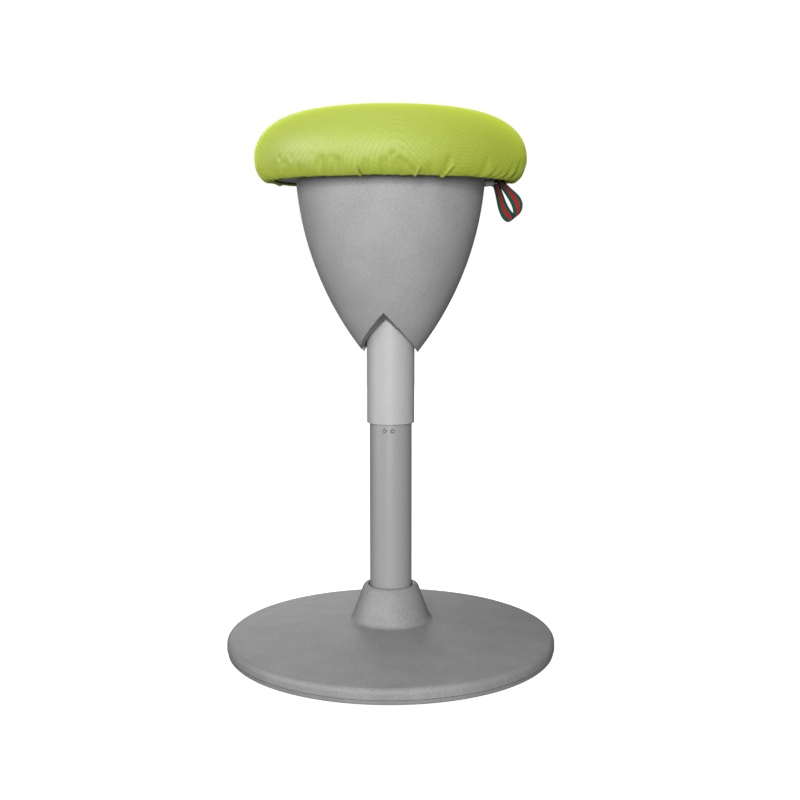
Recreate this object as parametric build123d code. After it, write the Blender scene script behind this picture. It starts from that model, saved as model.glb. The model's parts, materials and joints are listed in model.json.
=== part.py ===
from build123d import *
import os
from math import cos, pi, radians, sin, sqrt, tan

# Height-adjustable wobble stool: a round fabric cushion on a bell housing, a gas lift that slides
# and swivels in a steel column, and a weighted round base that rocks on a convex rubber tread.
# Millimetres, +Z up. The origin is on the floor, on the axis of the column, and the front is -Y.

# Base: tread, pan, shell, ballast
TREAD_FLAT_R = 95.0        # the flat middle of the tread, on which the stool stands upright
TREAD_EDGE_R = 186.0
TREAD_EDGE_Z = 7.2
TREAD_R = 188.0
GROOVE_RADII = (40.0, 66.0, 112.0, 132.0, 168.0)
GROOVE_WIDTH = 4.0
GROOVE_DEPTH = 2.5
BASE_Z = 10.0              # underside of the pan
PAN_FLOOR = 3.0
PAN_R = 195.2
PAN_CHAMFER = 1.2
PARTING_Z = 16.4
PARTING_GAP = 1.0          # height of the shadow gap under the parting line
PARTING_DEPTH = 1.7
TONGUE_R = 192.8           # outside of the tongue that locates the shell
TONGUE_T = 2.4
TONGUE_H = 3.5
BASE_R = 196.5
BASE_EDGE_FILLET = 6.6
RIM_TOP_Z = 28.6
WALL = 3.0
HUB_FOOT_R = 47.6
HUB_FOOT_Z = 46.6
HUB_NECK_R = 34.6
HUB_NECK_Z = 82.6
HUB_CREST_R = 29.0
HUB_CREST_Z = 89.2
HUB_BORE_R = 26.1
HUB_BORE_Z = 85.8
HUB_FOOT_FILLET = 6.0
RIBS = 8
RIB_T = 2.4
RIB_INNER_R = 57.0
RIB_OUTER_R = 153.0
BALLAST_R = 125.0
BALLAST_HOLE_R = 20.0      # room for the rod's end and its clip
BALLAST_T = 8.0
BALLAST_Z = BASE_Z + PAN_FLOOR
SCREW_RING_R = 150.0
BASE_SCREWS = 6
BASE_SCREW_R = 1.85
BASE_SCREW_HEAD = (4.2, 2.4)       # radius and height
BASE_SCREW_LENGTH = 16.0
BASE_BOSS_R = 5.0
PAN_HOLE_R = 2.3
TREAD_WELL_R = 6.5

# Column: flange, stand tube, bush, bearing
TUBE_R = 25.0
TUBE_WALL = 2.0
TUBE_TOP_Z = 300.0
FLANGE_R = 55.0
FLANGE_T = 5.0
FLANGE_Z = BALLAST_Z + BALLAST_T
FLANGE_TOP = FLANGE_Z + FLANGE_T
SPIGOT_T = 4.0
SPIGOT_PLAY = 0.05         # radial gap between the tube's bore and what is set in it
FLANGE_SCREW_R = 40.0      # radius of the circle of flange screws
FLANGE_HOLE_R = 4.2
FLANGE_TAP_R = 3.9
FLANGE_BOLT_R = 3.8
FLANGE_BOLT_HEAD = (7.0, 4.2)
CRIMP_Z = 277.0
CRIMP_R = 1.9              # middle of the ring-shaped crimp mark
CRIMP_GROOVE = 0.8
CRIMP_TURN = -5.3          # degrees from the front to the middle of a pair of crimps
CRIMP_PITCH = 21.5         # degrees between the two crimps of a pair
BUSH_BOTTOM_Z = 232.0
BUSH_WAIST_R = 17.5
BUSH_LIP_R = 24.5
BUSH_LIP_T = 1.5
RUNNING = 0.05             # radial clearance of every sliding or turning fit
RACE_T = 2.0
RACE_R = 16.0
BALL_R = 2.45
BALL_PITCH_R = 11.0
BALLS = 12
RACE_Z = FLANGE_TOP + SPIGOT_T
BALL_GAP = 5.0
CAGE_INNER_R = 7.5
CAGE_OUTER_R = 14.6
CAGE_T = 2.2
UPPER_RACE_Z = RACE_Z + RACE_T + BALL_GAP
ROD_SHOULDER_Z = UPPER_RACE_Z + RACE_T
BUFFER_R = 13.0
BUFFER_H = 12.5

# Gas lift, at its longest
ROD_R = 5.0
ROD_END_R = 4.0
ROD_END_BELOW = 5.0        # length of the rod's end under the flange
CLIP_GROOVE_R = 3.0
CLIP_R = 9.0
CLIP_T = 1.6
PISTON_R = 12.0
PISTON_Z = 258.0
PISTON_H = 10.0
SEAL_GROOVE_R = 10.2
SEAL_GROOVE_H = 3.0
NUT_R = 7.5
NUT_H = 3.6
CYLINDER_R = 14.0
CYLINDER_BORE_R = 12.2
CYLINDER_LIP_R = 10.4      # mouth of the cylinder after it is rolled in
CYLINDER_LIP_T = 2.0
ROD_GUIDE_H = 16.0
CYLINDER_BOTTOM_Z = 236.0
CYLINDER_TOP_Z = 500.0
NECK_TOP_Z = 545.0
NECK_ANGLE = 1.4377        # half of the standard taper's included angle, degrees
CHAMBER_TOP_Z = 505.0
SLEEVE_R = 28.1
SLEEVE_WALL = 1.6
SLEEVE_BOTTOM_Z = 284.5
SLEEVE_TOP_Z = 491.0
COLLAR_R = 17.5
COLLAR_H = 6.0

# Bell housing: a two-petal tulip, turned on an arc
BELL_ARC_R = 364.2
BELL_ARC_CENTRE_R = -254.0
BELL_ARC_CENTRE_Z = 593.6
BELL_TIP_Z = 367.5
BELL_WALL = 3.0
BELL_HOLE_R = 31.0
BELL_INNER_TUBE_WALL = 2.5
BELL_INNER_TUBE_Z = 428.0
NOTCH_TURN = -4.0          # degrees from the front to the run of the front notch
NOTCH_OFFSET = -3.2        # sideways distance from the column's axis to that run
NOTCH_AXIS_Z = 399.0       # height of the notch ridge where it crosses the column's axis
NOTCH_RIDGE_SLOPE = 0.279  # rise of the ridge per unit outwards
NOTCH_SIDE_SLOPE = 0.892   # fall of each notch face per unit sideways
BELL_SCREW_R = 98.5
BELL_BOSS_R = 5.5
BELL_BOSS_Z = 540.0
BELL_PILOT_R = 1.8
BELL_SCREWS = 6
BELL_SCREW_START = 30.0    # degrees from +X to the first screw
GATE_W = 18.0              # opening in the bell's edge for the lever
GATE_H = 16.4

# Seat
SHELL_Z = 567.5
SHELL_T = 4.0
SHELL_R = 141.0
BOARD_R = 135.0
BOARD_T = 12.0
SEAT_R = 156.7
SEAT_WIDEST_Z = 590.8
CROWN_H = 56.3
CROWN_POWERS = (0.512, 0.961)
ROLL_R = 140.0             # radius of the lowest circle of the cushion
ROLL_H = 26.4
ROLL_POWERS = (1.052, 1.046)
COVER_T = 1.6
HEM_R = 134.8
HEM_CORD_R = 1.2

# Mechanism under the seat
PLATE_T = 3.0
PLATE_Z = 548.0
PLATE_HALF_X = 60.0
PLATE_HALF_Y = 45.0
PLATE_FLANGE_W = 17.0
PLATE_HOLE_X = 45.0
PLATE_HOLE_Y = 54.0
PLATE_HOLE_R = 3.4
PLATE_SCREW_R = 2.9
PLATE_SCREW_HEAD = (5.6, 3.4)
TEE_NUT_HOLE_R = 4.2
TEE_NUT_R = 9.5
TEE_NUT_BORE_R = 2.95
TEE_NUT_T = 1.4
SOCKET_R = 19.0
SOCKET_BOTTOM_Z = 503.0
LEVER_PIVOT_X = -35.0
LEVER_Z = 558.0            # middle of the lever bar and of its pivot pin
LEVER_T = 4.0
LEVER_HALF_W = 6.0
LEVER_END_LIFT = 5.5       # the bar's outer end stands this much higher
LEVER_BEND_X = (84.0, 98.0)        # start and end of the bar's cranked stretch
PIVOT_R = 3.0
BARREL_R = 6.0
EAR_GAP = 6.4
EAR_T = 3.0
EAR_L = 14.0
EAR_H = 16.0
VALVE_R = 4.0
VALVE_BOTTOM_Z = 510.0
VALVE_PLAY = 0.15          # free play between the pin and the lever
LEVER_END_X = 113.0
TIP_START_X = 106.0
TIP_HALF_W = 7.5
TIP_BOTTOM_Z = 560.8
TIP_TOP_Z = 567.0
TIP_SLOT = 24.0            # side of the square slot in the shell above the tip
STRAP_PIN_X = 123.5
STRAP_PIN_Z = 564.0
STRAP_PIN_R = 1.5
STRAP_ROOM = 7.8           # from the middle of the pin to the tip, and to the pin's head
STRAP_BACK_ROOM = 5.5      # from the middle of the pin to the tip behind the strap
PIN_HEAD_R = 2.4
PIN_HEAD_T = 1.6
STRAP_W = 15.0
STRAP_T = 1.4
STRAP_TURN = -50.0         # degrees from +X to the plane of the loop

os.makedirs("parts", exist_ok=True)


def turned(outline):
    """Solid of revolution about the Z axis from a closed outline in the XZ plane."""
    return revolve(make_face(outline), axis=Axis.Z)


def outline_of(*points):
    """Closed outline of straight lines in the XZ plane, from (radius, height) pairs."""
    return Polyline(*[(r, 0, z) for r, z in points], close=True)


def ring(inner, outer, bottom, top):
    """Plain ring about the Z axis."""
    return turned(outline_of((inner, bottom), (outer, bottom), (outer, top), (inner, top)))


def rod(radius, bottom, top):
    """Upright cylinder on the Z axis between two heights."""
    return Pos(0, 0, bottom) * Cylinder(radius, top - bottom, align=(Align.CENTER, Align.CENTER, Align.MIN))


def around(shape, radius, count, start=0.0):
    """Copies of a shape spaced evenly on a circle about the Z axis."""
    step = 360 / count
    return [Rot(0, 0, start + step * i) * Pos(radius, 0, 0) * shape for i in range(count)]


def bell_radius(z, inset=0.0):
    """Radius of the bell's outside at a height, or of a surface inside it."""
    return BELL_ARC_CENTRE_R + sqrt((BELL_ARC_R - inset) ** 2 - (z - BELL_ARC_CENTRE_Z) ** 2)


def dome_height(r, drop=0.0):
    """Height of the base shell's top between its rim and its hub."""
    share = (BASE_R - BASE_EDGE_FILLET - r) / (BASE_R - BASE_EDGE_FILLET - HUB_FOOT_R)
    return RIM_TOP_Z + (HUB_FOOT_Z - RIM_TOP_Z) * sin(share * 1.2) / sin(1.2) - drop


# ---------------------------------------------------------------- base

def tread_height(r):
    """Height of the rubber tread's underside, which curves up outside its flat middle."""
    return TREAD_EDGE_Z * ((max(r, TREAD_FLAT_R) - TREAD_FLAT_R) / (TREAD_EDGE_R - TREAD_FLAT_R)) ** 2


def rubber_tread():
    """Convex rubber tread with round grip grooves and wells for the base screws."""
    bottom = Line((0, 0, 0), (TREAD_FLAT_R, 0, 0))
    curve = TangentArc((TREAD_FLAT_R, 0, 0), (TREAD_EDGE_R, 0, TREAD_EDGE_Z), tangent=(1, 0, 0))
    edge = Polyline((TREAD_EDGE_R, 0, TREAD_EDGE_Z), (TREAD_R, 0, BASE_Z), (0, 0, BASE_Z), (0, 0, 0))
    body = turned(bottom + curve + edge)
    for r in GROOVE_RADII:
        body -= ring(r, r + GROOVE_WIDTH, -1, tread_height(r) + GROOVE_DEPTH)
    for well in around(rod(TREAD_WELL_R, -1, BASE_Z + 1), SCREW_RING_R, BASE_SCREWS):
        body -= well
    return body


def base_pan():
    """Underside of the base: a floor with a tapered rim, a shadow gap and a tongue inside the shell."""
    tongue_top = PARTING_Z + TONGUE_H
    body = turned(outline_of(
        (0, BASE_Z), (PAN_R - PAN_CHAMFER, BASE_Z), (PAN_R, BASE_Z + PAN_CHAMFER),
        (BASE_R - 0.3, PARTING_Z - PARTING_GAP), (BASE_R - PARTING_DEPTH, PARTING_Z - PARTING_GAP),
        (BASE_R - PARTING_DEPTH, PARTING_Z), (TONGUE_R, PARTING_Z), (TONGUE_R, tongue_top),
        (TONGUE_R - TONGUE_T, tongue_top), (TONGUE_R - TONGUE_T, BASE_Z + PAN_FLOOR),
        (0, BASE_Z + PAN_FLOOR)))
    for hole in around(rod(PAN_HOLE_R, BASE_Z - 1, BALLAST_Z + 1), SCREW_RING_R, BASE_SCREWS):
        body -= hole
    return body


def hub_outline(inset):
    """Outer line of the shell from the dome to the hub's neck, moved inwards by a wall."""
    return [(HUB_FOOT_R - inset, HUB_FOOT_Z - inset), (HUB_NECK_R - inset, HUB_NECK_Z)]


def shell_body(inset, floor):
    """Filled form of the base shell, or of its inside when it is moved in by a wall."""
    edge_r = BASE_R - inset
    corner = BASE_EDGE_FILLET - inset
    top = RIM_TOP_Z - inset
    foot, neck = hub_outline(inset)
    dome_mid = 0.5 * (edge_r - corner + foot[0])
    rim = Polyline((0, 0, floor), (edge_r, 0, floor), (edge_r, 0, top - corner))
    corner_arc = TangentArc((edge_r, 0, top - corner), (edge_r - corner, 0, top), tangent=(0, 0, 1))
    dome = ThreePointArc((edge_r - corner, 0, top), (dome_mid, 0, dome_height(dome_mid, inset)),
                         (foot[0], 0, foot[1]))
    if inset:
        cap = Polyline((foot[0], 0, foot[1]), (neck[0], 0, neck[1]), (0, 0, neck[1]), (0, 0, floor))
        return turned(rim + corner_arc + dome + cap)
    cone = Line((foot[0], 0, foot[1]), (neck[0], 0, neck[1]))
    lip = Spline((neck[0], 0, neck[1]), (HUB_CREST_R, 0, HUB_CREST_Z), (HUB_BORE_R, 0, HUB_BORE_Z),
                 tangents=[(neck[0] - foot[0], 0, neck[1] - foot[1]), (0, 0, -1)])
    bore = Polyline((HUB_BORE_R, 0, HUB_BORE_Z), (0, 0, HUB_BORE_Z), (0, 0, floor))
    return turned(rim + corner_arc + dome + cone + lip + bore)


def base_shell():
    """Upper moulding of the base: a domed plate with a conical hub, ribbed underneath."""
    outside = shell_body(0, PARTING_Z)
    foot_edge = [e for e in outside.edges().filter_by(GeomType.CIRCLE)
                 if abs(e.radius - HUB_FOOT_R) < 0.1][0]
    outside = fillet(foot_edge, HUB_FOOT_FILLET)
    inside = shell_body(WALL, PARTING_Z)
    body = outside - inside - rod(HUB_BORE_R, PARTING_Z, HUB_CREST_Z + 1)
    rib_low = FLANGE_Z + 0.6
    rib_length = RIB_OUTER_R - RIB_INNER_R
    rib_height = 2 * (HUB_NECK_Z - rib_low)
    rib = Pos(RIB_INNER_R + rib_length / 2, 0, HUB_NECK_Z) * Box(rib_length, RIB_T, rib_height)
    for i in range(RIBS):
        body += (Rot(0, 0, 180 / RIBS + 360 / RIBS * i) * rib) & inside
    boss_limit = inside + rod(SCREW_RING_R + 2 * BASE_BOSS_R, BALLAST_Z, PARTING_Z)
    for boss in around(rod(BASE_BOSS_R, BALLAST_Z + 0.1, HUB_NECK_Z), SCREW_RING_R, BASE_SCREWS):
        body += boss & boss_limit
    pilot_top = dome_height(SCREW_RING_R) - WALL - 1
    for hole in around(rod(BASE_SCREW_R + RUNNING, BASE_Z, pilot_top), SCREW_RING_R, BASE_SCREWS):
        body -= hole
    return body


def ballast_plate():
    """Round steel weight on the pan, with a clear hole for the rod's clip and four tapped holes."""
    body = ring(BALLAST_HOLE_R, BALLAST_R, BALLAST_Z, BALLAST_Z + BALLAST_T)
    for hole in around(rod(FLANGE_TAP_R, BALLAST_Z - 1, FLANGE_Z + 1), FLANGE_SCREW_R, 4, 45):
        body -= hole
    return body


def tube_flange():
    """Steel flange with a spigot inside the tube and a running bore for the rod's end."""
    body = ring(ROD_END_R + RUNNING, FLANGE_R, FLANGE_Z, FLANGE_TOP)
    body += ring(ROD_END_R + RUNNING, TUBE_R - TUBE_WALL - SPIGOT_PLAY, FLANGE_TOP, RACE_Z)
    for hole in around(rod(FLANGE_HOLE_R, FLANGE_Z - 1, FLANGE_TOP + 1), FLANGE_SCREW_R, 4, 45):
        body -= hole
    return body


def button_screw(shank_r, head, length):
    """Screw on the Z axis with a domed socket head above zero and its shank below."""
    head_r, head_h = head
    shank = rod(shank_r, -length, 0)
    dome = fillet(rod(head_r, 0, head_h).edges().group_by(Axis.Z)[-1], head_h * 0.55)
    socket = Pos(0, 0, head_h) * extrude(RegularPolygon(head_r * 0.42, 6), amount=-head_h * 0.6)
    return shank + dome - socket


def flange_screws():
    """Four screws that hold the flange on the ballast plate."""
    screw = Pos(0, 0, FLANGE_TOP) * button_screw(FLANGE_BOLT_R, FLANGE_BOLT_HEAD, FLANGE_T + BALLAST_T - 1)
    return around(screw, FLANGE_SCREW_R, 4, 45)


def base_screws():
    """Six screws from below that hold the pan to the shell."""
    screw = Rot(180, 0, 0) * button_screw(BASE_SCREW_R, BASE_SCREW_HEAD, BASE_SCREW_LENGTH)
    return around(Pos(0, 0, BASE_Z) * screw, SCREW_RING_R, BASE_SCREWS)


# ---------------------------------------------------------------- column

def stand_tube():
    """Fixed lower tube of the column, crimped in pairs on the guide bush."""
    body = ring(TUBE_R - TUBE_WALL, TUBE_R, FLANGE_TOP, TUBE_TOP_Z)
    dent = Pos(TUBE_R, 0, CRIMP_Z) * Rot(0, 90, 0) * Torus(CRIMP_R, CRIMP_GROOVE)
    for side in (-90, 90):
        for half in (-0.5, 0.5):
            body -= Rot(0, 0, side + CRIMP_TURN + half * CRIMP_PITCH) * dent
    return body


def guide_bush():
    """Plastic bush in the top of the tube, in which the gas cylinder slides and turns."""
    bore = CYLINDER_R + RUNNING
    fit_r = TUBE_R - TUBE_WALL - SPIGOT_PLAY
    lip_top = TUBE_TOP_Z + BUSH_LIP_T
    return turned(outline_of(
        (bore, BUSH_BOTTOM_Z), (fit_r, BUSH_BOTTOM_Z), (fit_r, BUSH_BOTTOM_Z + 10),
        (BUSH_WAIST_R, BUSH_BOTTOM_Z + 14), (BUSH_WAIST_R, TUBE_TOP_Z - 32), (fit_r, TUBE_TOP_Z - 28),
        (fit_r, TUBE_TOP_Z), (BUSH_LIP_R, TUBE_TOP_Z), (BUSH_LIP_R, lip_top), (bore, lip_top)))


def lower_race():
    """Thrust washer under the balls."""
    return ring(ROD_END_R + RUNNING, RACE_R, RACE_Z, RACE_Z + RACE_T)


def upper_race():
    """Thrust washer above the balls, on which the rod's shoulder stands."""
    return ring(ROD_END_R, RACE_R, UPPER_RACE_Z, ROD_SHOULDER_Z)


def bearing_balls():
    """Ring of loose balls of the thrust bearing."""
    ball = Pos(0, 0, RACE_Z + RACE_T + BALL_GAP / 2) * Sphere(BALL_R)
    return around(ball, BALL_PITCH_R, BALLS)


def ball_cage():
    """Thin plastic ring with a pocket for each ball."""
    middle = RACE_Z + RACE_T + BALL_GAP / 2
    body = ring(CAGE_INNER_R, CAGE_OUTER_R, middle - CAGE_T / 2, middle + CAGE_T / 2)
    for pocket in around(rod(BALL_R + 0.1, middle - CAGE_T, middle + CAGE_T), BALL_PITCH_R, BALLS):
        body -= pocket
    return body


def rubber_buffer():
    """Rubber ring that stops the cylinder at the bottom of its travel."""
    top = ROD_SHOULDER_Z + BUFFER_H
    return turned(outline_of(
        (ROD_R, ROD_SHOULDER_Z), (BUFFER_R, ROD_SHOULDER_Z), (BUFFER_R, top - 2),
        (BUFFER_R - 2, top), (ROD_R, top)))


def rod_clip():
    """Spring clip in the rod's groove, under the flange."""
    body = ring(CLIP_GROOVE_R, CLIP_R, FLANGE_Z - 0.1 - CLIP_T, FLANGE_Z - 0.1)
    return body - Pos(CLIP_R - 1, 0, FLANGE_Z) * Box(12, 5, 6)


def piston_rod():
    """Gas-lift rod: its stepped lower end is held in the flange, its top carries the piston."""
    end = FLANGE_Z - ROD_END_BELOW
    groove_top = FLANGE_Z - 0.1
    groove_low = groove_top - CLIP_T
    return turned(outline_of(
        (0, end), (ROD_END_R, end), (ROD_END_R, groove_low), (CLIP_GROOVE_R, groove_low),
        (CLIP_GROOVE_R, groove_top), (ROD_END_R, groove_top),
        (ROD_END_R, ROD_SHOULDER_Z), (ROD_R, ROD_SHOULDER_Z), (ROD_R, PISTON_Z),
        (ROD_END_R, PISTON_Z), (ROD_END_R, PISTON_Z + PISTON_H + 4), (0, PISTON_Z + PISTON_H + 4)))


def piston():
    """Piston on the rod's top, with a groove for its seal."""
    middle = PISTON_Z + PISTON_H / 2
    low, high = middle - SEAL_GROOVE_H / 2, middle + SEAL_GROOVE_H / 2
    return turned(outline_of(
        (ROD_END_R, PISTON_Z), (PISTON_R, PISTON_Z), (PISTON_R, low), (SEAL_GROOVE_R, low),
        (SEAL_GROOVE_R, high), (PISTON_R, high), (PISTON_R, PISTON_Z + PISTON_H),
        (ROD_END_R, PISTON_Z + PISTON_H)))


def piston_seal():
    """Seal ring in the piston's groove."""
    middle = PISTON_Z + PISTON_H / 2
    half = SEAL_GROOVE_H / 2 - 0.1
    return ring(SEAL_GROOVE_R, CYLINDER_BORE_R - RUNNING, middle - half, middle + half)


def piston_nut():
    """Hexagon nut that holds the piston on the rod."""
    top = PISTON_Z + PISTON_H
    hexagon = Pos(0, 0, top) * extrude(RegularPolygon(NUT_R, 6), amount=NUT_H)
    return hexagon - rod(ROD_END_R, top - 1, top + NUT_H + 1)


# ---------------------------------------------------------------- gas lift on the seat

def neck_radius(z):
    """Radius of the cylinder's taper at a height."""
    return CYLINDER_R - (z - CYLINDER_TOP_Z) * tan(radians(NECK_ANGLE))


def gas_cylinder():
    """Cylinder of the gas lift, rolled in at its lower end, with the taper and the valve bore."""
    return turned(outline_of(
        (CYLINDER_LIP_R, CYLINDER_BOTTOM_Z), (CYLINDER_R - 1, CYLINDER_BOTTOM_Z),
        (CYLINDER_R, CYLINDER_BOTTOM_Z + 1),
        (CYLINDER_R, CYLINDER_TOP_Z), (neck_radius(NECK_TOP_Z), NECK_TOP_Z),
        (VALVE_R + RUNNING, NECK_TOP_Z), (VALVE_R + RUNNING, CHAMBER_TOP_Z),
        (CYLINDER_BORE_R, CHAMBER_TOP_Z), (CYLINDER_BORE_R, CYLINDER_BOTTOM_Z + CYLINDER_LIP_T),
        (CYLINDER_LIP_R, CYLINDER_BOTTOM_Z + CYLINDER_LIP_T)))


def rod_guide():
    """Guide and seal pack that closes the cylinder around the rod."""
    low = CYLINDER_BOTTOM_Z + CYLINDER_LIP_T
    return ring(ROD_R + RUNNING, CYLINDER_BORE_R, low, low + ROD_GUIDE_H)


def telescopic_sleeve():
    """Outer tube that hides the gas lift, with a rounded lower edge and a collar on the cylinder."""
    inner = SLEEVE_R - SLEEVE_WALL
    collar_top = SLEEVE_TOP_Z + COLLAR_H
    body = turned(outline_of(
        (inner, SLEEVE_BOTTOM_Z), (SLEEVE_R, SLEEVE_BOTTOM_Z), (SLEEVE_R, SLEEVE_TOP_Z),
        (COLLAR_R, SLEEVE_TOP_Z), (COLLAR_R, collar_top), (CYLINDER_R, collar_top),
        (CYLINDER_R, SLEEVE_TOP_Z - 3), (inner, SLEEVE_TOP_Z - 3)))
    lower_edge = [e for e in body.edges().filter_by(GeomType.CIRCLE).group_by(Axis.Z)[0]
                  if e.radius > inner + 0.5]
    return fillet(lower_edge, 0.75)


def taper_socket():
    """Steel socket that grips the cylinder's taper."""
    top = PLATE_Z + PLATE_T
    return turned(outline_of(
        (neck_radius(SOCKET_BOTTOM_Z), SOCKET_BOTTOM_Z), (SOCKET_R - 1, SOCKET_BOTTOM_Z),
        (SOCKET_R, SOCKET_BOTTOM_Z + 1), (SOCKET_R, top), (neck_radius(top), top)))


def valve_pin():
    """Release pin of the gas lift, with a domed top under the lever."""
    top = LEVER_Z - LEVER_T / 2 - VALVE_PLAY
    body = rod(VALVE_R, VALVE_BOTTOM_Z, top)
    return fillet(body.edges().group_by(Axis.Z)[-1], 2.4)


# ---------------------------------------------------------------- mechanism

def mechanism_plate():
    """Pressed channel under the seat with four screw flanges and two ears for the pivot pin."""
    height = SHELL_Z - PLATE_Z
    floor = Pos(0, 0, PLATE_Z + PLATE_T / 2) * Box(2 * PLATE_HALF_X, 2 * PLATE_HALF_Y, PLATE_T)
    body = floor - rod(SOCKET_R, PLATE_Z - 1, PLATE_Z + PLATE_T + 1)
    for side in (-1, 1):
        wall_y = side * (PLATE_HALF_Y - PLATE_T / 2)
        flange_y = side * (PLATE_HALF_Y + PLATE_FLANGE_W / 2)
        body += Pos(0, wall_y, PLATE_Z + height / 2) * Box(2 * PLATE_HALF_X, PLATE_T, height)
        body += Pos(0, flange_y, SHELL_Z - PLATE_T / 2) * Box(2 * PLATE_HALF_X, PLATE_FLANGE_W, PLATE_T)
        ear_y = side * (EAR_GAP + EAR_T / 2)
        body += Pos(LEVER_PIVOT_X, ear_y, PLATE_Z + EAR_H / 2) * Box(EAR_L, EAR_T, EAR_H)
        for x in (-PLATE_HOLE_X, PLATE_HOLE_X):
            body -= Pos(x, side * PLATE_HOLE_Y, 0) * rod(PLATE_HOLE_R, SHELL_Z - 10, SHELL_Z + 1)
    return body - pivot_bore(PIVOT_R)


def pivot_bore(radius):
    """Cross bore for the pivot pin, through both ears."""
    return Pos(LEVER_PIVOT_X, 0, LEVER_Z) * Rot(90, 0, 0) * Cylinder(radius, 40)


def lever_pin():
    """Pivot pin with a flat head at its front end."""
    half = EAR_GAP + EAR_T + 2
    pin = Rot(90, 0, 0) * Cylinder(PIVOT_R, 2 * half)
    head = Pos(0, -half - 0.8, 0) * Rot(90, 0, 0) * Cylinder(PIVOT_R + 1.8, 1.6)
    return Pos(LEVER_PIVOT_X, 0, LEVER_Z) * (pin + head)


def release_lever():
    """Flat bar over the valve pin, from the pivot to the tip outside the bell."""
    low = LEVER_Z - LEVER_T / 2
    lift = LEVER_END_LIFT
    start, end = LEVER_BEND_X
    side = outline_of(
        (LEVER_PIVOT_X, low), (start, low), (end, low + lift), (LEVER_END_X, low + lift),
        (LEVER_END_X, low + lift + LEVER_T), (end - 1, low + lift + LEVER_T), (start - 1, low + LEVER_T),
        (LEVER_PIVOT_X, low + LEVER_T))
    bar = extrude(make_face(side), amount=LEVER_HALF_W, both=True)
    barrel = Pos(LEVER_PIVOT_X, 0, LEVER_Z) * Rot(90, 0, 0) * Cylinder(BARREL_R, 2 * LEVER_HALF_W)
    return bar + barrel - pivot_bore(PIVOT_R + RUNNING)


def plate_points():
    """Places of the four screws of the mechanism plate, seen from above."""
    return [(x, y) for x in (-PLATE_HOLE_X, PLATE_HOLE_X) for y in (-PLATE_HOLE_Y, PLATE_HOLE_Y)]


def plate_screws():
    """Four screws from below into the seat's tee nuts."""
    screw = Rot(180, 0, 0) * button_screw(PLATE_SCREW_R, PLATE_SCREW_HEAD, PLATE_T + SHELL_T + 9)
    return [Pos(x, y, SHELL_Z - PLATE_T) * screw for x, y in plate_points()]


def tee_nuts():
    """Four tee nuts pressed in the board from above."""
    board_top = SHELL_Z + SHELL_T + BOARD_T
    top = board_top + TEE_NUT_T
    nut = ring(TEE_NUT_BORE_R, TEE_NUT_HOLE_R, board_top - 9, top)
    nut += ring(TEE_NUT_BORE_R, TEE_NUT_R, board_top, top)
    return [Pos(x, y, 0) * nut for x, y in plate_points()]


# ---------------------------------------------------------------- bell housing

def bell_filled(inset, bottom):
    """Turned form inside the bell's outer arc, moved in by a wall, from a height to the seat."""
    middle = 0.5 * (bottom + SHELL_Z)
    points = [(bell_radius(z, inset), 0, z) for z in (bottom, middle, SHELL_Z)]
    side = ThreePointArc(*points)
    rest = Polyline(points[-1], (0, 0, SHELL_Z), (0, 0, bottom), points[0])
    return turned(side + rest)


def notch(front, lift):
    """Sloping wedge under one pair of petals; its ridge rises outwards from the column."""
    half = SEAT_R
    low = NOTCH_AXIS_Z + lift - NOTCH_SIDE_SLOPE * half
    section = Polyline((0, -half, low), (0, half, low), (0, 0, NOTCH_AXIS_Z + lift), close=True)
    direction = Vector(1, 0, NOTCH_RIDGE_SLOPE)
    wedge = extrude(make_face(section), amount=SEAT_R * direction.length, dir=direction)
    return Rot(0, 0, front + NOTCH_TURN) * Pos(0, NOTCH_OFFSET, 0) * wedge


def bell_ring(shape):
    """Copies of a shape at each of the bell's screws."""
    return around(shape, BELL_SCREW_R, BELL_SCREWS, BELL_SCREW_START)


def bell_housing():
    """Hollow two-petal bell: outer skin, notch soffits, inner tube and screw bosses."""
    thick = BELL_WALL * sqrt(1 + NOTCH_SIDE_SLOPE ** 2 + NOTCH_RIDGE_SLOPE ** 2)
    body = bell_filled(0, BELL_TIP_Z)
    hollow = bell_filled(BELL_WALL, BELL_TIP_Z + 6)
    hollow -= rod(BELL_HOLE_R + BELL_INNER_TUBE_WALL, BELL_TIP_Z, BELL_INNER_TUBE_Z)
    for front in (-90, 90):
        body -= notch(front, 0)
        hollow -= notch(front, thick)
    bosses = [boss & hollow for boss in bell_ring(rod(BELL_BOSS_R, BELL_BOSS_Z, SHELL_Z))]
    body = body - hollow - rod(BELL_HOLE_R, BELL_TIP_Z - 1, SHELL_Z + 1)
    for boss in bosses:
        body += boss
    for hole in bell_ring(rod(BELL_PILOT_R, BELL_BOSS_Z + 10, SHELL_Z + 1)):
        body -= hole
    lever_gate = Pos(bell_radius(SHELL_Z) - 2, 0, SHELL_Z + 0.2 - GATE_H / 2) * Box(20, GATE_W, GATE_H)
    return body - lever_gate


def bell_screws():
    """Six countersunk screws from above through the shell into the bell's bosses."""
    top = SHELL_Z + SHELL_T
    screw = turned(outline_of((0, top), (4.0, top), (1.75, top - 2.4), (1.75, top - 16), (0, top - 17.5)))
    return bell_ring(screw)


# ---------------------------------------------------------------- seat

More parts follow.
